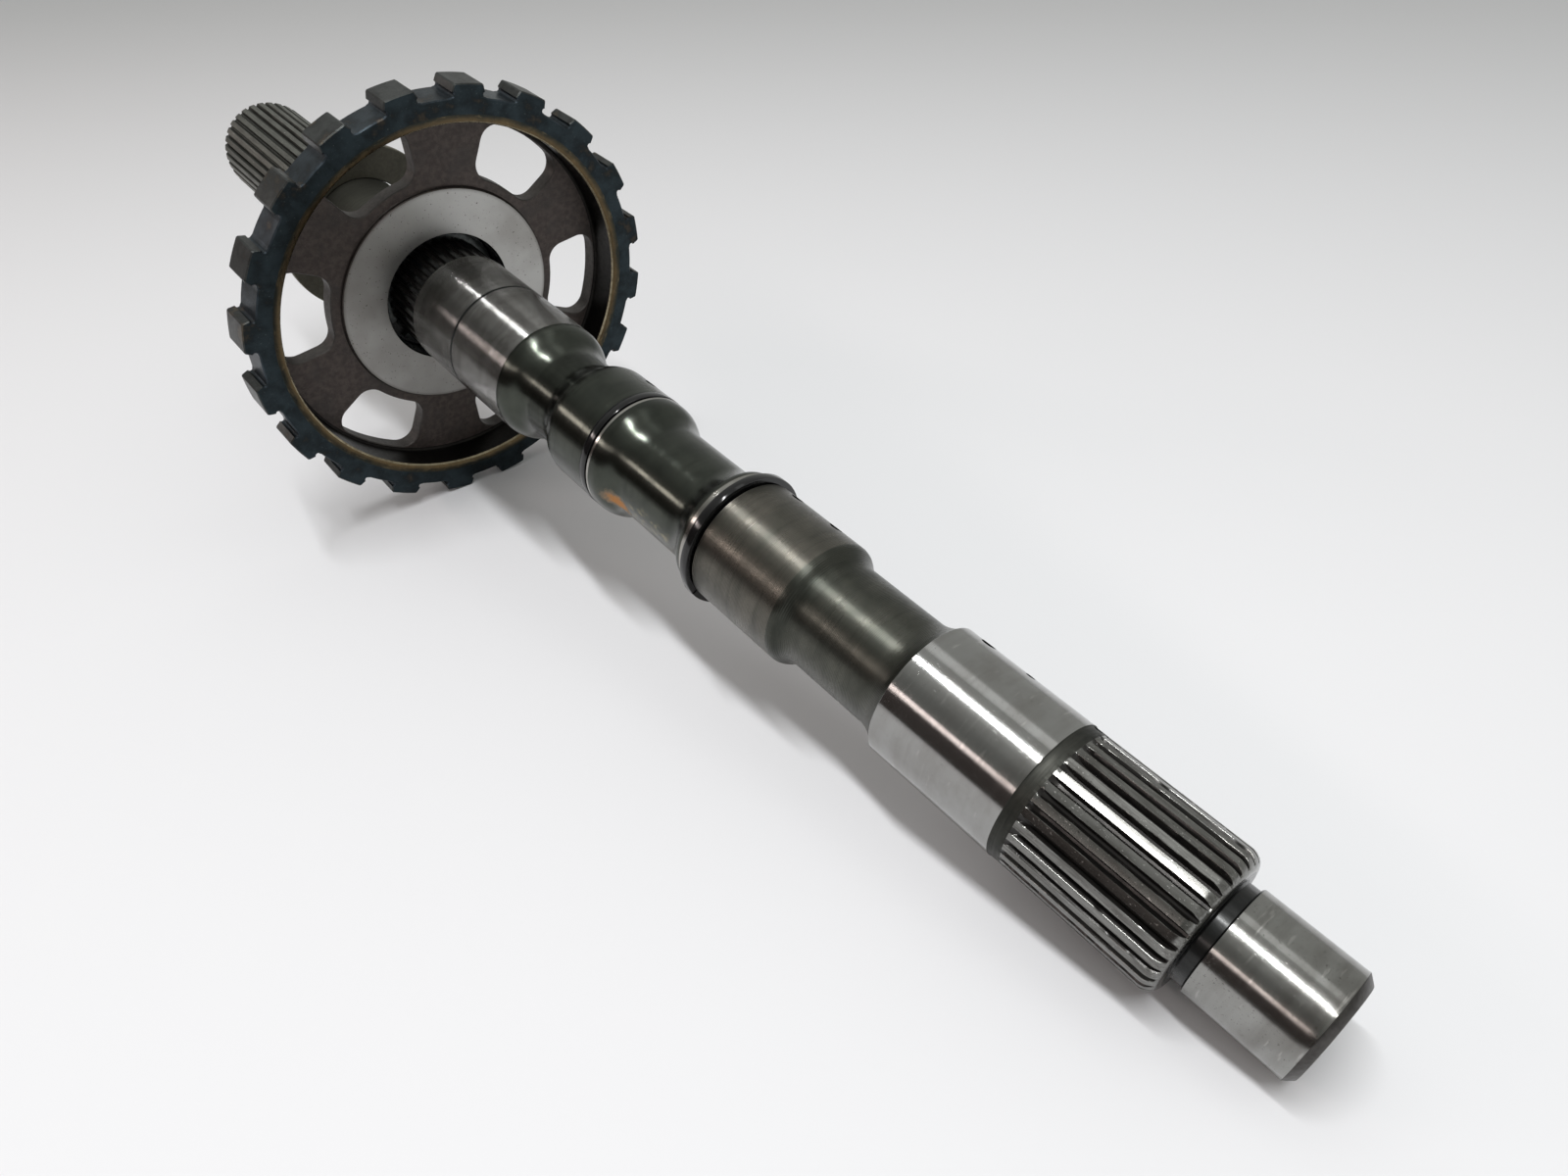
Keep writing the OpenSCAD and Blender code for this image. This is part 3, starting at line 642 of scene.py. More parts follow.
def bore_columns():
    """Angles and radii of the splined bore, ten columns for each tooth: the shaft's gap, less the fit."""
    out_r, in_r = hub_spline_r + hub_fit, hub_floor + hub_fit
    outer_at = math.degrees(math.asin((half_width(out_r) - hub_fit) / out_r))
    inner_at = math.degrees(math.asin((half_width(in_r) - hub_fit) / in_r))
    half = pitch / 2
    angles = np.array([0, (half - outer_at) / 2, half - outer_at, half - inner_at, half - inner_at / 2, half])
    heights = np.array([out_r, out_r, out_r, in_r, in_r, in_r])
    angles = np.concatenate([angles, pitch - angles[4:0:-1]])
    heights = np.concatenate([heights, heights[4:0:-1]])
    return (angles + np.arange(SPLINE_TEETH)[:, None] * pitch).reshape(-1), np.tile(heights, SPLINE_TEETH)


def join_rings(work, plain, splined, finish):
    """Flat faces between a plain ring of 240 and a splined ring of 320 columns."""
    patches = math.gcd(plain.size, splined.size)
    runs = []
    for ring in (plain, splined):
        run = ring.reshape(patches, -1)
        runs.append(np.concatenate([run, np.roll(run, -1, axis=0)[:, :1]], axis=1))
    work.add_faces(np.concatenate([runs[0], runs[1][:, ::-1]], axis=1), finish)


def build_hub(work):
    """The raised face, the counterbore, the bore and the boss behind the web."""
    ring_rows(work, "hub_edge", [web_front, web_front + hub_bevel, hub_front - hub_bevel, hub_front],
              [web_in_r, hub_r + 0.05, hub_r, hub_r - hub_bevel], web_columns)
    mouth = counterbore_r + counterbore_bevel
    ring_rows(work, "hub_face", [hub_front] * 4, [hub_r - hub_bevel, 31, 26, mouth], web_columns)
    front = ring_rows(work, "recess",
                      [hub_front, hub_front - counterbore_bevel, ring_seat + hub_bevel, ring_seat, ring_seat],
                      [mouth, counterbore_r, counterbore_r, counterbore_r - hub_bevel, front_join_r],
                      web_columns)
    angles, heights = bore_columns()
    bore_stations = np.array([ring_seat, -20, -26, hub_back])[:, None]
    bore = work.grid(place_round(bore_stations, heights, angles), "recess")
    back = ring_rows(work, "boss", [hub_back, hub_back], [back_join_r, boss_r - boss_round], web_columns)
    turn = np.radians(np.linspace(0, 90, 6))
    ring_rows(work, "boss", hub_back + boss_round * (1 - np.cos(turn)),
              boss_r - boss_round * (1 - np.sin(turn)), web_columns)
    ring_rows(work, "boss", [hub_back + boss_round, web_back - 0.6, web_back - 0.15, web_back, web_back],
              [boss_r, boss_r, boss_r + 0.15, boss_r + 0.6, web_in_r], web_columns)
    join_rings(work, front[-1], bore[0], "recess")
    join_rings(work, back[0], bore[-1], "boss")


wheel_work = Patchwork(WHEEL_FINISHES)
build_rim(wheel_work)
build_web(wheel_work)
build_hub(wheel_work)
wheel = wheel_work.make("toothed_wheel")

# %% [markdown]
# Seal rings and snap rings are the same thing to a modeller: a small section carried round the axis, with
# an opening, and a cap on each end. Only the section and the opening differ.

# %% Split rings
RING_STEPS = 300
opening_at = -60
seal_back_room, seal_opening = 0.25, 0.6
snap_t, snap_in_r, snap_out_r, snap_soften, snap_opening = 1.75, snap_floor + 0.05, 19.9, 0.15, 7


def boxed(start, width, in_r, out_r, soften):
    """A rectangular section of (station, radius) points with its outer corners broken."""
    end, part = start + width, soften * 0.3
    return [(start, in_r), (start, out_r - soften), (start + part, out_r - part), (start + soften, out_r),
            (end - soften, out_r), (end - part, out_r - part), (end, out_r - soften), (end, in_r)]


def split_ring(name, finish, section, opening_w):
    """The section carried round from one side of its opening to the other, with a cap at both ends."""
    work = Patchwork([finish])
    section = np.array(section, float)
    half_open = math.degrees(opening_w / 2 / section[:, 1].max())
    angles = np.linspace(opening_at + half_open, opening_at + 360 - half_open, RING_STEPS)
    points = place_round(section[:, 0, None], section[:, 1, None], angles).transpose(1, 0, 2)
    numbers = work.grid(points, finish)
    work.add_faces(numbers[[0, -1]], finish)
    return work.make(name)


def seal_ring(name, start, collar_r, out_r, soften):
    """A seal ring from a station on, with a little room under it in its groove."""
    section = boxed(start, seal_w, collar_r - seal_groove_depth + seal_back_room, out_r, soften)
    return split_ring(name, "seal_ring", section, seal_opening)


def snap_ring(name, start):
    """A snap ring from a station on, which reaches down into the shaft's groove."""
    section = boxed(start, snap_t, snap_in_r, snap_out_r, snap_soften)
    return split_ring(name, "snap_ring", section, snap_opening)


front_seal = seal_ring("front_seal_ring", seal_front, front_collar.radius, 18.8, 0.25)
rear_seal = seal_ring("rear_seal_ring", seal_rear, rear_collar.radius, 17.8, 0.2)
front_snap = snap_ring("front_snap_ring", ring_seat)
rear_snap = snap_ring("rear_snap_ring", hub_back - snap_t)

# %% [markdown]
# The washer behind the wheel is loose, so it hangs on the neck: its centre lies lower than the shaft's by
# the play between the two. A plain tube would do for its shape, but its broken edges are what catches the
# light.

# %% Thrust washer
def build_washer():
    """A flat ring with broken edges, let down by its play on the neck."""
    bore, outer, thickness, front, soften = 18.3, 30.0, 2.5, -70.4, 0.3
    back, hang = front - thickness, bore - neck_r - 0.03
    section = np.array([(front, bore + soften), (front, outer - soften), (front - soften, outer),
                        (back + soften, outer), (back, outer - soften), (back, bore + soften),
                        (back + soften, bore), (front - soften, bore), (front, bore + soften)])
    work = Patchwork(["washer"])
    angles = np.linspace(0, 2 * math.pi, 180, endpoint=False)
    station, radius = section[:, 0, None] + 0 * angles, section[:, 1, None]
    work.grid(place(station, radius * np.cos(angles) + hang, radius * np.sin(angles)), "washer")
    return work.make("washer")


washer = build_washer()

# %% [markdown]
# Shader maths reads best as ordinary sums. A wire is a socket that knows how to add, multiply and compare,
# and each operation puts one Math node into the tree. All other nodes come from one method of the finish.

# %% Shader sums
EVEN = (1, 1, 1)
ROUND = (1, 150, 150)


def tone(red, green, blue):
    """A screen colour, 0 to 255, as the linear colour that a shader takes."""
    share = np.array([red, green, blue]) / 255
    linear = np.where(share <= 0.04045, share / 12.92, ((share + 0.055) / 1.055) ** 2.4)
    return (*linear.tolist(), 1.0)


class Wire:
    """A socket of values in a shader tree, usable in sums."""

    def __init__(self, finish, socket):
        self.finish, self.socket = finish, socket

    def math(self, operation, *others):
        """One Math node of an operation on this value and any others."""
        return self.finish.node("ShaderNodeMath", {"operation": operation}, [self, *others])

    def reflected(self, operation, other):
        """One Math node with the other value first, as in 1 - wire."""
        return self.finish.node("ShaderNodeMath", {"operation": operation}, [other, self])

    def __add__(self, other):
        return self.math("ADD", other)

    def __sub__(self, other):
        return self.math("SUBTRACT", other)

    def __mul__(self, other):
        return self.math("MULTIPLY", other)

    def __truediv__(self, other):
        return self.math("DIVIDE", other)

    def __pow__(self, other):
        return self.math("POWER", other)

    __radd__, __rmul__ = __add__, __mul__

    def __rsub__(self, other):
        return self.reflected("SUBTRACT", other)

    def __rtruediv__(self, other):
        return self.reflected("DIVIDE", other)

    def __rpow__(self, other):
        return self.reflected("POWER", other)

    def step(self, low, high, from_value=0.0, to_value=1.0):
        """Goes smoothly between two values while this one goes from low to high."""
        return self.finish.node("ShaderNodeMapRange", {"interpolation_type": "SMOOTHSTEP"},
                                {"Value": self, "From Min": low, "From Max": high,
                                 "To Min": from_value, "To Max": to_value})

    def between(self, low, high, soft):
        """1 between two limits and 0 outside them."""
        return self.step(low - soft, low + soft) * self.step(high - soft, high + soft, 1.0, 0.0)


class Finish:
    """A material under construction, with the shaft's own coordinates in mm ready as wires."""

    def __init__(self, name):
        self.material = material_named(name)
        self.material.use_nodes = True
        self.tree = self.material.node_tree
        self.shader = self.tree.nodes["Principled BSDF"]
        here = self.node("ShaderNodeTexCoord", {}, {}, "Object")
        offset = self.vector("SUBTRACT", here, tuple(station_zero))
        self.station, self.lower, self.aside = [
            self.vector("DOT_PRODUCT", offset, tuple(way / MM), "Value") for way in (along, down, side)]
        self.radius = (self.lower ** 2 + self.aside ** 2) ** 0.5
        self.local = self.combine(self.station, self.lower, self.aside)

    def node(self, kind, settings, values, out=0):
        """Adds a node: settings first, then values or wires for its sockets by name or in order."""
        made = self.tree.nodes.new(kind)
        for key, value in settings.items():
            setattr(made, key, value)
        for key, value in values.items() if isinstance(values, dict) else enumerate(values):
            self.feed(made.inputs[key], value)
        return Wire(self, made.outputs[out])

    def feed(self, socket, value):
        """Links a wire to a socket, or sets a plain value on it."""
        if isinstance(value, Wire):
            self.tree.links.new(value.socket, socket)
        else:
            socket.default_value = value

    def vector(self, operation, first, second, out="Vector"):
        """One Vector Math node of an operation on two vectors."""
        return self.node("ShaderNodeVectorMath", {"operation": operation}, [first, second], out)

    def combine(self, x, y, z):
        """A vector from three values."""
        return self.node("ShaderNodeCombineXYZ", {}, [x, y, z])

    def noise_at(self, where, detail, rough):
        """Noise with spots of about one unit of the vector that it is read at."""
        return self.node("ShaderNodeTexNoise", {},
                         {"Vector": where, "Scale": 1.0, "Detail": detail, "Roughness": rough}, "Fac")

    def noise(self, size, stretch=EVEN, detail=3.0, rough=0.6, seed=0.0):
        """Noise with spots of about a size in mm, longer along station, down or side by the stretch."""
        moved = self.vector("MULTIPLY", self.local, tuple(1 / (size * part) for part in stretch))
        moved = self.vector("ADD", moved, (seed, 1.7 * seed, 0.6 * seed))
        return self.noise_at(moved, detail, rough)

    def mix(self, share, first, second):
        """A colour between two, by a share; each colour is a wire or a screen colour."""
        pair = [colour if isinstance(colour, Wire) else tone(*colour) for colour in (first, second)]
        return self.node("ShaderNodeMix", {"data_type": "RGBA"}, {0: share, 6: pair[0], 7: pair[1]}, 2)

    def bump(self, height, strength, distance):
        """A normal from a height, where 1 stands a distance in mm above 0."""
        return self.node("ShaderNodeBump", {},
                         {"Strength": strength, "Distance": distance * MM, "Height": height}, "Normal")

    def set(self, **values):
        """Sets the shader's sockets; underscores stand for spaces."""
        for key, value in values.items():
            self.feed(self.shader.inputs[key.replace("_", " ")], value)
        return self.material


print("shader sums are ready, lengths in them are in mm")

# %% [markdown]
# The ground journals and the pilot are the brightest steel here. Grinding leaves hair-fine marks round the
# shaft, and use leaves small dark pits and a faint brown film. The marks go into the roughness and a very
# shallow bump. On the journal beside the wheel they are drawn as fine ridges, which spread a highlight
# along the axis.

# %% Ground steel
RIDGE_PITCH = 0.12


def ground_steel(name, bright, dull, roughness, pits, marks_depth, ridge_slope=0.0):
    """Bright steel with marks round the shaft, a film in patches, dark pits, and ridges of a slope."""
    finish = Finish(name)
    marks = finish.noise(0.16, ROUND, 4.0, 0.6, 3.0)
    broad = finish.noise(2.0, (1, 25, 25), 2.0, 0.5, 8.0)
    film = finish.noise(9.0, (1, 1.5, 1.5), seed=5)
    pit = finish.noise(0.32, (1.2, 1, 1), 2.0, 0.5, 1.0).step(0.69 - pits, 0.76 - pits)
    streak = finish.noise(0.8, (1.4, 9, 9), 2.0, 0.5, 12.0).step(0.64, 0.75)
    colour = finish.mix(film.step(0.4, 0.7) * 0.6 + broad.step(0.35, 0.75) * 0.3, bright, dull)
    colour = finish.mix(pit * 0.7, colour, (62, 58, 52))
    colour = finish.mix(streak * 0.2, colour, (225, 222, 218))
    rough = roughness + (marks - 0.5) * 0.06 + film.step(0.45, 0.8) * 0.05 + pit * 0.08
    ridge = (finish.station * (2 * math.pi / RIDGE_PITCH) + broad * 9.0).math("SINE")
    height = (marks - pit * 0.3) * marks_depth + ridge * (ridge_slope * RIDGE_PITCH / (2 * math.pi))
    return finish.set(Base_Color=colour, Metallic=1.0, Roughness=rough, Normal=finish.bump(height, 1.0, 1.0))


# %% [markdown]
# The necks and collars are turned and left as they came off the lathe: dark, oily, greenish grey, with fine
# grooves round them where the tool went along. Their pitch is a little under half a millimetre. They could
# be geometry, but at that size a bump does. Low on the middle neck lie a small patch of rust and pale
# stains.

# %% Turned steel
feed = 0.44
rust_at, rust_lower, rust_lean, rust_length, rust_width = 106.6, 3.7, 0.25, 5.6, 3.2


def turned_steel(name):
    """Dark turned steel with a groove at every feed of the tool, and stains low on the necks."""
    finish = Finish(name)
    drift = finish.noise(6.0, ROUND, 1.0, 0.5, 2.0) * 1.2
    ridge = (finish.station / feed * 2 * math.pi + drift).math("SINE")
    front = finish.station.step(132, 146)
    on_collar = finish.station.between(front_collar.start, front_collar.end, 0.15)
    on_shoulder = finish.station.step(170.3, 170.6) * finish.station.step(173.5, 180, 1.0, 0.0)
    sharp_zone = front * 0.7 + 0.3
    fine = finish.noise(0.16, ROUND, seed=6)
    film = finish.noise(7.0, (1, 1.6, 1.6), 4.0, 0.6, 9.0)
    dark = finish.noise(1.4, (1, 14, 14), seed=15)
    dull = finish.mix(film.step(0.35, 0.7), (74, 77, 71), (62, 65, 60))
    bright = finish.mix(film.step(0.35, 0.7), (98, 95, 88), (82, 81, 75))
    colour = finish.mix(on_collar, finish.mix(front * 0.4, dull, bright), bright)
    colour = finish.mix(dark.step(0.5, 0.72) * 0.25 + on_shoulder * 0.45, colour, (44, 47, 43))
    outer = finish.aside.step(-6, -10)
    past = finish.station - rust_at
    lower = finish.lower - rust_lower - past * rust_lean
    reach = ((past / rust_length) ** 2 + (lower / rust_width) ** 2) ** 0.5
    reach = reach + (finish.noise(1.6, EVEN, 4.0, 0.65, 4.0) - 0.5) * 0.9
    rust = reach.step(0.5, 1.1, 1.0, 0.0) * outer
    rust_colour = finish.mix(reach.step(0.25, 0.85), (186, 124, 56), (138, 120, 96))
    colour = finish.mix(rust * 0.85, colour, rust_colour)
    stain_spot = finish.noise(2.2, (1.5, 1, 1), 4.0, 0.6, 7.0).step(0.5, 0.62)
    stain = stain_spot * finish.station.between(112, 129, 2) * finish.lower.between(-0.5, 9, 2) * outer
    colour = finish.mix(stain * 0.5, colour, (150, 140, 104))
    rough = 0.16 + front * 0.1 + film.step(0.3, 0.8) * 0.07 + (fine - 0.5) * 0.08 + rust * 0.5
    metal = 1.0 - rust * 0.9 - stain * 0.5
    height = ridge * sharp_zone + (fine - 0.5) * 1.2
    return finish.set(Base_Color=colour, Metallic=metal, Roughness=rough,
                      Normal=finish.bump(height, 1.0, 0.019))


# %% [markdown]
# On the splines the lands are worn bright and speckled along their edges, and the gaps are dark: partly black
# oil, partly painted shade. The faces of lands and gaps carry different finishes, so each can be plain by
# itself, where one finish would have to tell land from gap by the radius.

# %% Spline lands and gaps
def spline_land(name, bright, dull, roughness):
    """Worn lands: lengthwise streaks and bright speckles."""
    finish = Finish(name)
    streaks = finish.noise(0.5, (14, 1, 1), seed=1)
    specks = finish.noise(0.42, (1.6, 1, 1), seed=5)
    patch = finish.noise(5.0, (2, 1, 1), seed=2)
    colour = finish.mix(streaks.step(0.35, 0.7), bright, dull)
    colour = finish.mix(patch.step(0.45, 0.7) * 0.5, colour, (84, 82, 78))
    colour = finish.mix(specks.step(0.64, 0.72) * 0.5, colour, (210, 208, 204))
    colour = finish.mix(specks.step(0.35, 0.27), colour, (45, 44, 42))
    rough = roughness + (streaks - 0.5) * 0.2 + specks.step(0.6, 0.7) * 0.1
    return finish.set(Base_Color=colour, Metallic=1.0, Roughness=rough,
                      Normal=finish.bump(specks * 0.3 + streaks * 0.4, 0.25, 0.02))


def oil_and_shade_dark(name, colour, roughness=0.3):
    """Dark oily steel in a gap or a recess: its dark colour is partly oil and partly painted shade, with
    darker grime in patches.
    """
    finish = Finish(name)
    grime = finish.noise(1.1, (3, 1, 1), 4.0, 0.6, 3.0)
    shade = finish.mix(grime.step(0.3, 0.75), colour, [part * 0.55 for part in colour])
    return finish.set(Base_Color=shade, Metallic=0.75, Roughness=roughness + (grime - 0.5) * 0.3,
                      Normal=finish.bump(grime, 0.4, 0.06), Coat_Weight=0.3, Coat_Roughness=0.15)


# %% [markdown]
# Ends, bands, bevels and the washer are steel that nobody polished: two dull shades in patches over a fine
# grain, drawn out round the shaft where a tool turned them. Each could have a finish of its own, but they
# differ in nothing else, so one function makes them all.

# %% Plain dark steels
def dull_steel(name, colour, other, roughness, metallic=1.0, size=1.2, stretch=EVEN):
    """A dull surface of two shades in patches with a fine grain."""
    finish = Finish(name)
    grain = finish.noise(size, stretch, 4.0, 0.62, 4.0)
    patch = finish.noise(size * 7, (1, 1, 1), 3.0, 0.6, 6.0)
    shade = finish.mix(patch.step(0.3, 0.7) * 0.5 + grain.step(0.3, 0.75) * 0.5, colour, other)
    return finish.set(Base_Color=shade, Metallic=metallic, Roughness=roughness + (grain - 0.5) * 0.25,
                      Normal=finish.bump(grain, 0.4, 0.06))


# %% [markdown]
# The wheel was hardened by heat, which left the blue-black rim with a straw coloured band at its lip. The
# web keeps its forged skin, grainy and reddish brown, while the hub's face was faced bright on the lathe.

# %% Wheel finishes
def rim_blue(name, cool, warm, warm_share):
    """Heat-blued steel with warmer smudges."""
    finish = Finish(name)
    cloud = finish.noise(7.0, EVEN, 4.0, 0.6, 2.0)
    grain = finish.noise(0.7, EVEN, 4.0, 0.65, 9.0)
    colour = finish.mix(cloud.step(0.35, 0.7), cool, [part * 0.6 for part in cool])
    colour = finish.mix(cloud.step(0.62 - warm_share, 0.72 - warm_share * 0.5) * 0.8, colour, warm)
    colour = finish.mix(grain.step(0.6, 0.75) * 0.35, colour, (120, 124, 122))
    return finish.set(Base_Color=colour, Metallic=0.9, Roughness=0.36 + (grain - 0.5) * 0.3 + cloud * 0.1,
                      Normal=finish.bump(grain, 0.35, 0.05))


def heat_band(name):
    """The sloped band inside the rim: straw and bronze, dark towards the outside, with marks round it."""
    finish = Finish(name)
    marks = finish.noise(0.35, (1, 10, 10), seed=1)
    cloud = finish.noise(9.0, seed=4)
    inward = finish.radius.step(lip_r, lip_r + band_w, 1.0, 0.0)
    colour = finish.mix(inward * 0.7 + (cloud - 0.5) * 1.2, (48, 50, 46), (112, 94, 66))
    colour = finish.mix(marks.step(0.55, 0.7) * 0.2, colour, (150, 132, 100))
    return finish.set(Base_Color=colour, Metallic=1.0, Roughness=0.3 + (marks - 0.5) * 0.2)


def forged_skin(name):
    """The web's forged skin: two browns in a coarse grain that stands out in the light."""
    finish = Finish(name)
    coarse = finish.noise(1.7, EVEN, 5.0, 0.65, 3.0)
    fine = finish.noise(0.45, seed=8)
    cloud = finish.noise(11.0, EVEN, 3.0, 0.55, 5.0)
    colour = finish.mix(coarse.step(0.35, 0.65), (60, 53, 50), (76, 68, 64))
    colour = finish.mix(cloud.step(0.45, 0.7) * 0.6, colour, (56, 53, 51))
    colour = finish.mix(fine.step(0.62, 0.72) * 0.3, colour, (128, 118, 112))
    return finish.set(Base_Color=colour, Metallic=0.6, Roughness=0.5 + (fine - 0.5) * 0.3,
                      Normal=finish.bump(coarse * 0.7 + fine * 0.3, 0.8, 0.18))


def faced_steel(name):
    """The hub's face: satin, with rings from the lathe, small pits and a darker rim."""
    finish = Finish(name)
    where = finish.combine(finish.radius * 3.2, finish.lower * 0.03, finish.aside * 0.03)
    spin = finish.noise_at(where, 3.0, 0.6)
    cloud = finish.noise(16.0, EVEN, 3.0, 0.5, 2.0)
    pits = finish.noise(0.6, EVEN, 2.0, 0.5, 6.0).step(0.68, 0.74)
    colour = finish.mix(cloud.step(0.3, 0.75), (170, 169, 166), (148, 146, 142))
    colour = finish.mix(pits, colour, (70, 66, 62))
    colour = finish.mix(finish.radius.step(34.4, 35.6) * 0.5, colour, (92, 88, 84))
    rough = 0.36 + (spin - 0.5) * 0.2 + pits * 0.3
    return finish.set(Base_Color=colour, Metallic=1.0, Roughness=rough, Normal=finish.bump(spin, 0.3, 0.03))


# %% [markdown]
# The seal rings are black, smooth and wet with oil. They could be one even black, but hair-fine marks round
# them vary the roughness, which breaks up their highlight just enough that they don't look like glass.

# %% Black rings
def black_ring(name):
    """Smooth black seal ring with an oil film."""
    finish = Finish(name)
    marks = finish.noise(0.3, (1, 20, 20), seed=1)
    colour = finish.mix(marks.step(0.4, 0.7), (6, 6, 7), (14, 14, 14))
    return finish.set(Base_Color=colour, Metallic=0.0, Roughness=0.12 + (marks - 0.5) * 0.08)


# %% [markdown]
# Each face already knows the number of its finish, so a piece only needs its materials in the same order.

# %% The finishes
dull_steel("end_face", (120, 118, 114), (86, 84, 80), 0.4)
spline_land("rear_spline", (118, 119, 113), (98, 99, 94), 0.5)
dull_steel("neck", (82, 82, 75), (62, 62, 58), 0.55, stretch=(1, 20, 20))
# The hub's counterbore and bore, and the shaft inside them, are near black: painted shade inside the hub,
# over a little oil.
oil_and_shade_dark("recess", (20, 22, 22))
ground_steel("rear_journal", (154, 153, 151), (119, 117, 113), 0.12, 0.0, 0.02, 0.38)
ground_steel("journal", (155, 155, 153), (137, 135, 132), 0.11, 0.0, 0.022)
turned_steel("turned")
ground_steel("ring_land", (170, 168, 163), (128, 126, 121), 0.16, 0.0, 0.03)
# The seal ring grooves and the thin groove on the rear journal are near black: painted shade in the grooves.
oil_and_shade_dark("seal_groove", (30, 31, 31))
dull_steel("band", (68, 68, 64), (48, 49, 46), 0.5, size=0.7, stretch=(1, 12, 12))
spline_land("front_spline", (132, 132, 129), (104, 103, 100), 0.2)
# The relief groove before the pilot is near black: painted shade in the groove.
oil_and_shade_dark("relief", (34, 35, 34))
ground_steel("pilot", (149, 149, 146), (116, 114, 110), 0.13, 0.035, 0.02)
dull_steel("pilot_edge", (86, 84, 82), (64, 62, 60), 0.35)
# The oil bore and the oil holes are near black: painted shade inside the holes.
oil_and_shade_dark("bore", (24, 24, 24))
# Spline gaps: their dark colour is partly oil and partly painted shade between the teeth.
oil_and_shade_dark("gap", (50, 48, 46))
# The rear spline's gaps are darker than its lands: painted shade between the teeth.
dull_steel("rear_gap", (80, 81, 77), (64, 65, 61), 0.55)
rim_blue("rim_side", (58, 66, 72), (74, 68, 61), 0.02)
rim_blue("rim_face", (43, 52, 56), (58, 53, 46), 0.03)
rim_blue("tooth_tip", (70, 72, 71), (84, 77, 67), 0.06)
heat_band("heat_band")
dull_steel("lip", (160, 150, 126), (104, 94, 76), 0.25)
# The rim's inner wall down to the web is dark brown: painted shade cast by the rim.
dull_steel("wall", (42, 40, 38), (28, 27, 26), 0.45)
forged_skin("web")
dull_steel("window_wall", (80, 76, 73), (60, 57, 55), 0.55, 0.6)
faced_steel("hub_face")
dull_steel("hub_edge", (84, 78, 74), (60, 56, 54), 0.45)
dull_steel("boss", (92, 88, 84), (70, 66, 64), 0.45, stretch=(1, 12, 12))
black_ring("seal_ring")
oil_and_shade_dark("snap_ring", (60, 64, 62), 0.35)
dull_steel("washer", (106, 104, 93), (84, 82, 74), 0.5, 0.9)
print("finishes", len(bpy.data.materials))


# %% [markdown]
# Each piece takes the place of its CAD node and rides on the one body.

# %% Seat the pieces
def seat(piece, node_name):
    """Puts the piece in its node's place and on the body."""
    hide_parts(node_name)
    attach(piece, "root")
    print(piece.name, "stands for", node_name)


seat(shaft, "output_shaft")
seat(wheel, "ring_gear_flange")
seat(front_seal, "seal_ring_front")
seat(rear_seal, "seal_ring_rear")
seat(front_snap, "hub_ring_front")
seat(rear_snap, "hub_ring_rear")
seat(washer, "thrust_washer")

# %% [markdown]
# The floor is one plain pale sheet, large enough to fill the picture. Bright steel needs long lamps for its
# long highlights: a narrow one overhead above the front half, a wide faint one behind it, and a softer rosy
# line along the front side. That line is in three parts, because its power falls towards the near end.

# %% Floor and lamps
floor_mesh = bpy.data.meshes.new("floor")
reach = 6.0
corners = [(x * reach, y * reach, 0) for x, y in ((-1, -1), (1, -1), (1, 1), (-1, 1))]
floor_mesh.from_pydata(corners, [], [(0, 1, 2, 3)])
floor = bpy.data.objects.new("floor", floor_mesh)
bpy.context.scene.collection.objects.link(floor)
floor_finish = Finish("floor_paper")
floor_finish.set(Base_Color=tone(226, 226, 228), Roughness=0.7, Specular_IOR_Level=0.2)
floor_mesh.materials.append(floor_finish.material)


def stand(name, data, at, axes):
    """Adds a lamp or camera at a point, turned so that its own x, y and z lie along three directions."""
    holder = bpy.data.objects.new(name, data)
    holder.matrix_world = Matrix.Translation(at) @ Matrix(axes).transposed().to_4x4()
    bpy.context.scene.collection.objects.link(holder)
    return holder


def strip_lamp(name, ends, target, width, power, colour):
    """A long lamp between two points that looks at a target."""
    lamp = bpy.data.lights.new(name, "AREA")
    start, end = map(Vector, ends)
    middle = (start + end) / 2
    lamp.shape = "RECTANGLE"
    lamp.size, lamp.size_y = (end - start).length, width
    lamp.energy, lamp.color = power, colour
    first = (end - start).normalized()
    second = (middle - Vector(target)).cross(first).normalized()
    stand(name, lamp, middle, (first, second, first.cross(second)))
    print("lamp", name, "length", round(lamp.size, 2), "m, power", power, "W")


white, rosy = (0.98, 0.99, 1.0), (1.0, 0.86, 0.83)
OVERHEAD = ((-1.5, 0.09, 1.25), (0.9, -0.34, 1.25))
FRONT = ((-1.33, -1.0, 0.745), (0.55, -1.0, 0.535))


def along_line(line, start, end):
    """The two points of a line where its x is start and end."""
    first, last = np.array(line)
    return [tuple((first + (last - first) * (x - first[0]) / (last[0] - first[0])).tolist())
            for x in (start, end)]


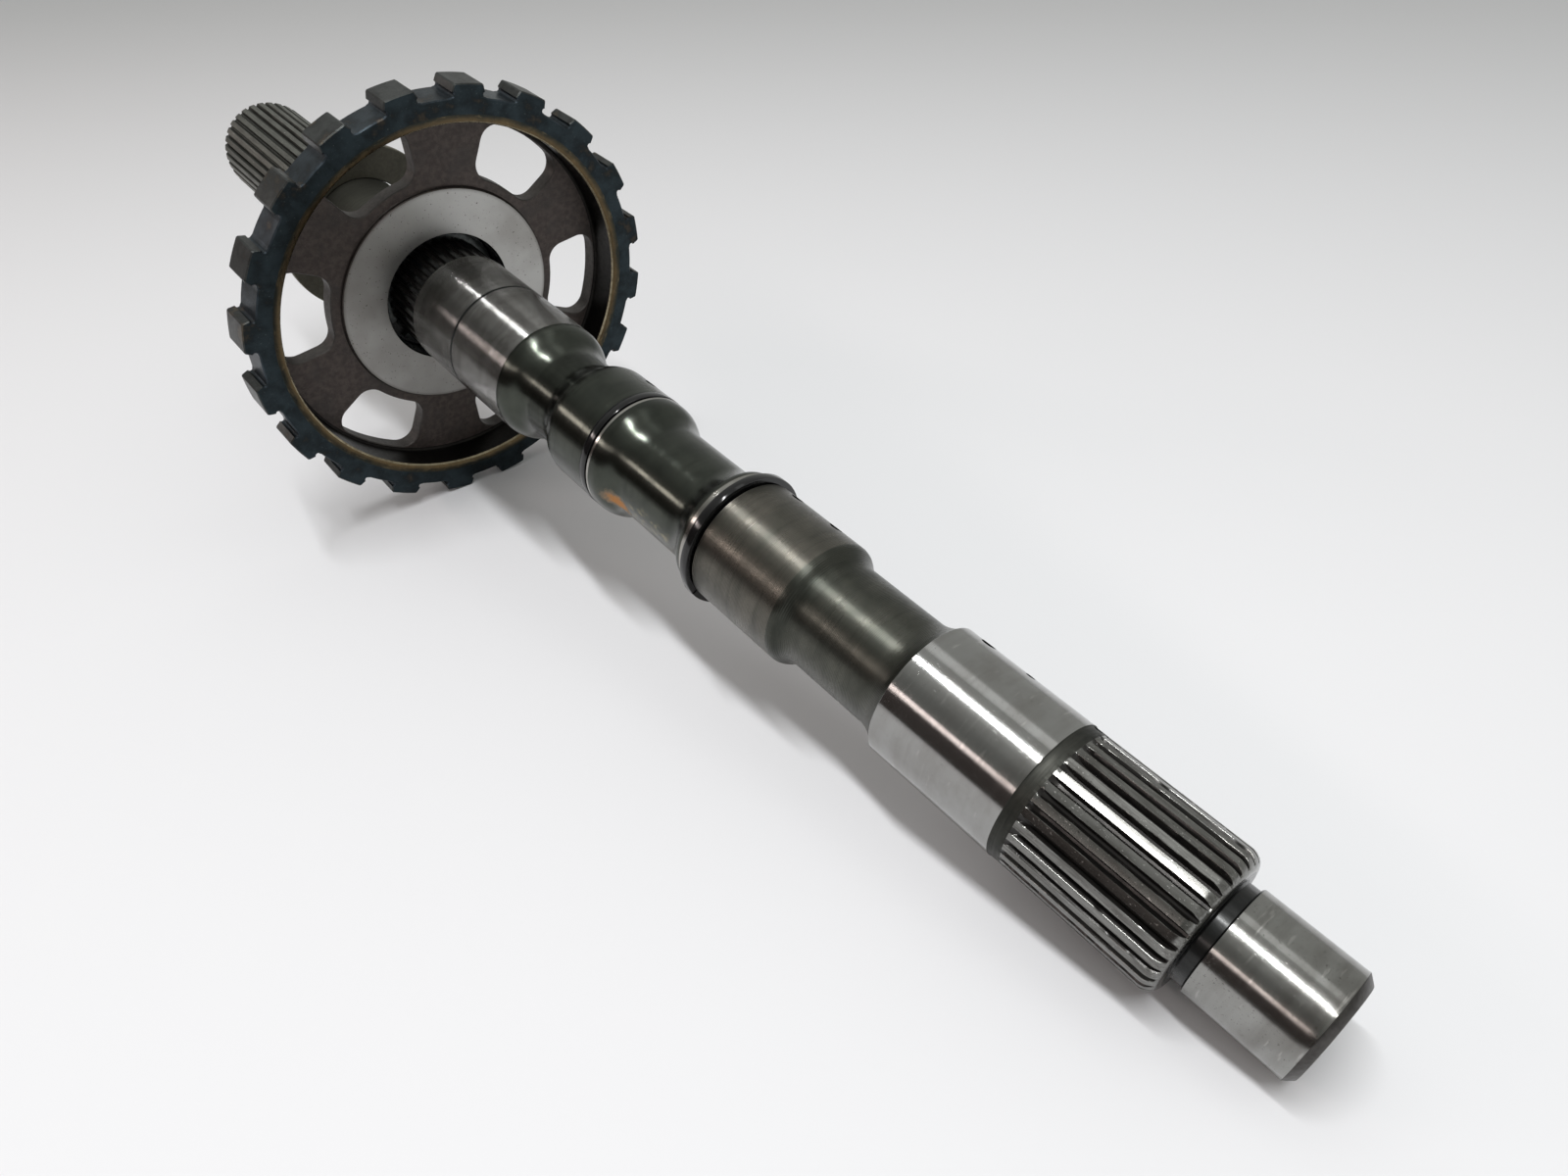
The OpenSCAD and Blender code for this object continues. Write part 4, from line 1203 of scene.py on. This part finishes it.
strip_lamp("overhead", along_line(OVERHEAD, -0.2, 0.9), (-0.1, -0.1, 0), 0.06, 12.5, white)
strip_lamp("overhead_side", ((-0.35, 0.47, 1.25), (0.9, 0.35, 1.25)), (0, 0, 0), 0.3, 0.7, white)
FRONT_PARTS = (("far", -1.33, -0.85, 2.2), ("middle", -0.85, -0.3, 1.2), ("near", -0.3, 0.55, 0.85))
for name, start, end, power in FRONT_PARTS:
    strip_lamp("front_" + name, along_line(FRONT, start, end), (0, 0, 0.04), 0.12, power, rosy)

# %% [markdown]
# Bright steel shows the room in it more than its own colour. A room that is equally bright all round would
# make it look like grey plastic. So two planes through the shaft and the two lines of lamps part this one
# into three shades: dark brownish grey below the front lamps, mid grey between, and light grey past the
# overhead lamp.

# %% The room
world = bpy.data.worlds.new("room")
bpy.context.scene.world = world
world.use_nodes = True


class Room(Finish):
    """The world's tree, with the direction of sight as its only coordinate."""

    def __init__(self, world):
        self.material, self.tree = world, world.node_tree
        self.shader = self.tree.nodes["Background"]
        self.toward = self.node("ShaderNodeTexCoord", {}, {}, "Generated")

    def above(self, first, second):
        """How far the direction is above the plane through two directions."""
        upward = np.cross(first, second)
        upward = tuple((upward / np.linalg.norm(upward)).tolist())
        return self.vector("DOT_PRODUCT", self.toward, upward, "Value")


room = Room(world)
past_front = room.above(*FRONT).step(-0.16, 0.02)
past_overhead = room.above(*OVERHEAD).step(-0.62, -0.1)
wall = room.mix(past_front, (80, 74, 72), (133, 134, 131))
room.set(Color=room.mix(past_overhead, wall, (191, 192, 189)), Strength=1.0)

# %% [markdown]
# The camera stands close and looks down along the shaft from its front end. Its place was found from the
# picture's vanishing lines and the wheel's round outline; azimuth, elevation and roll say the same as a
# rotation.

# %% Camera
camera_at = Vector((0.249548, -0.140923, 0.191565))
azimuth, elevation, roll = math.radians(50.328), math.radians(35.352), math.radians(-2.892)
back = Vector((math.sin(azimuth) * math.cos(elevation), -math.cos(azimuth) * math.cos(elevation),
               math.sin(elevation)))
level = Vector((math.cos(azimuth), math.sin(azimuth), 0))
right = level * math.cos(roll) + back.cross(level) * math.sin(roll)
lens = bpy.data.cameras.new("camera")
lens.lens, lens.sensor_width, lens.clip_start = 24.75, 36.0, 0.01
camera = stand("camera", lens, camera_at, (right, back.cross(right), back))
bpy.context.scene.camera = camera
bpy.context.scene.view_settings.view_transform = "Standard"
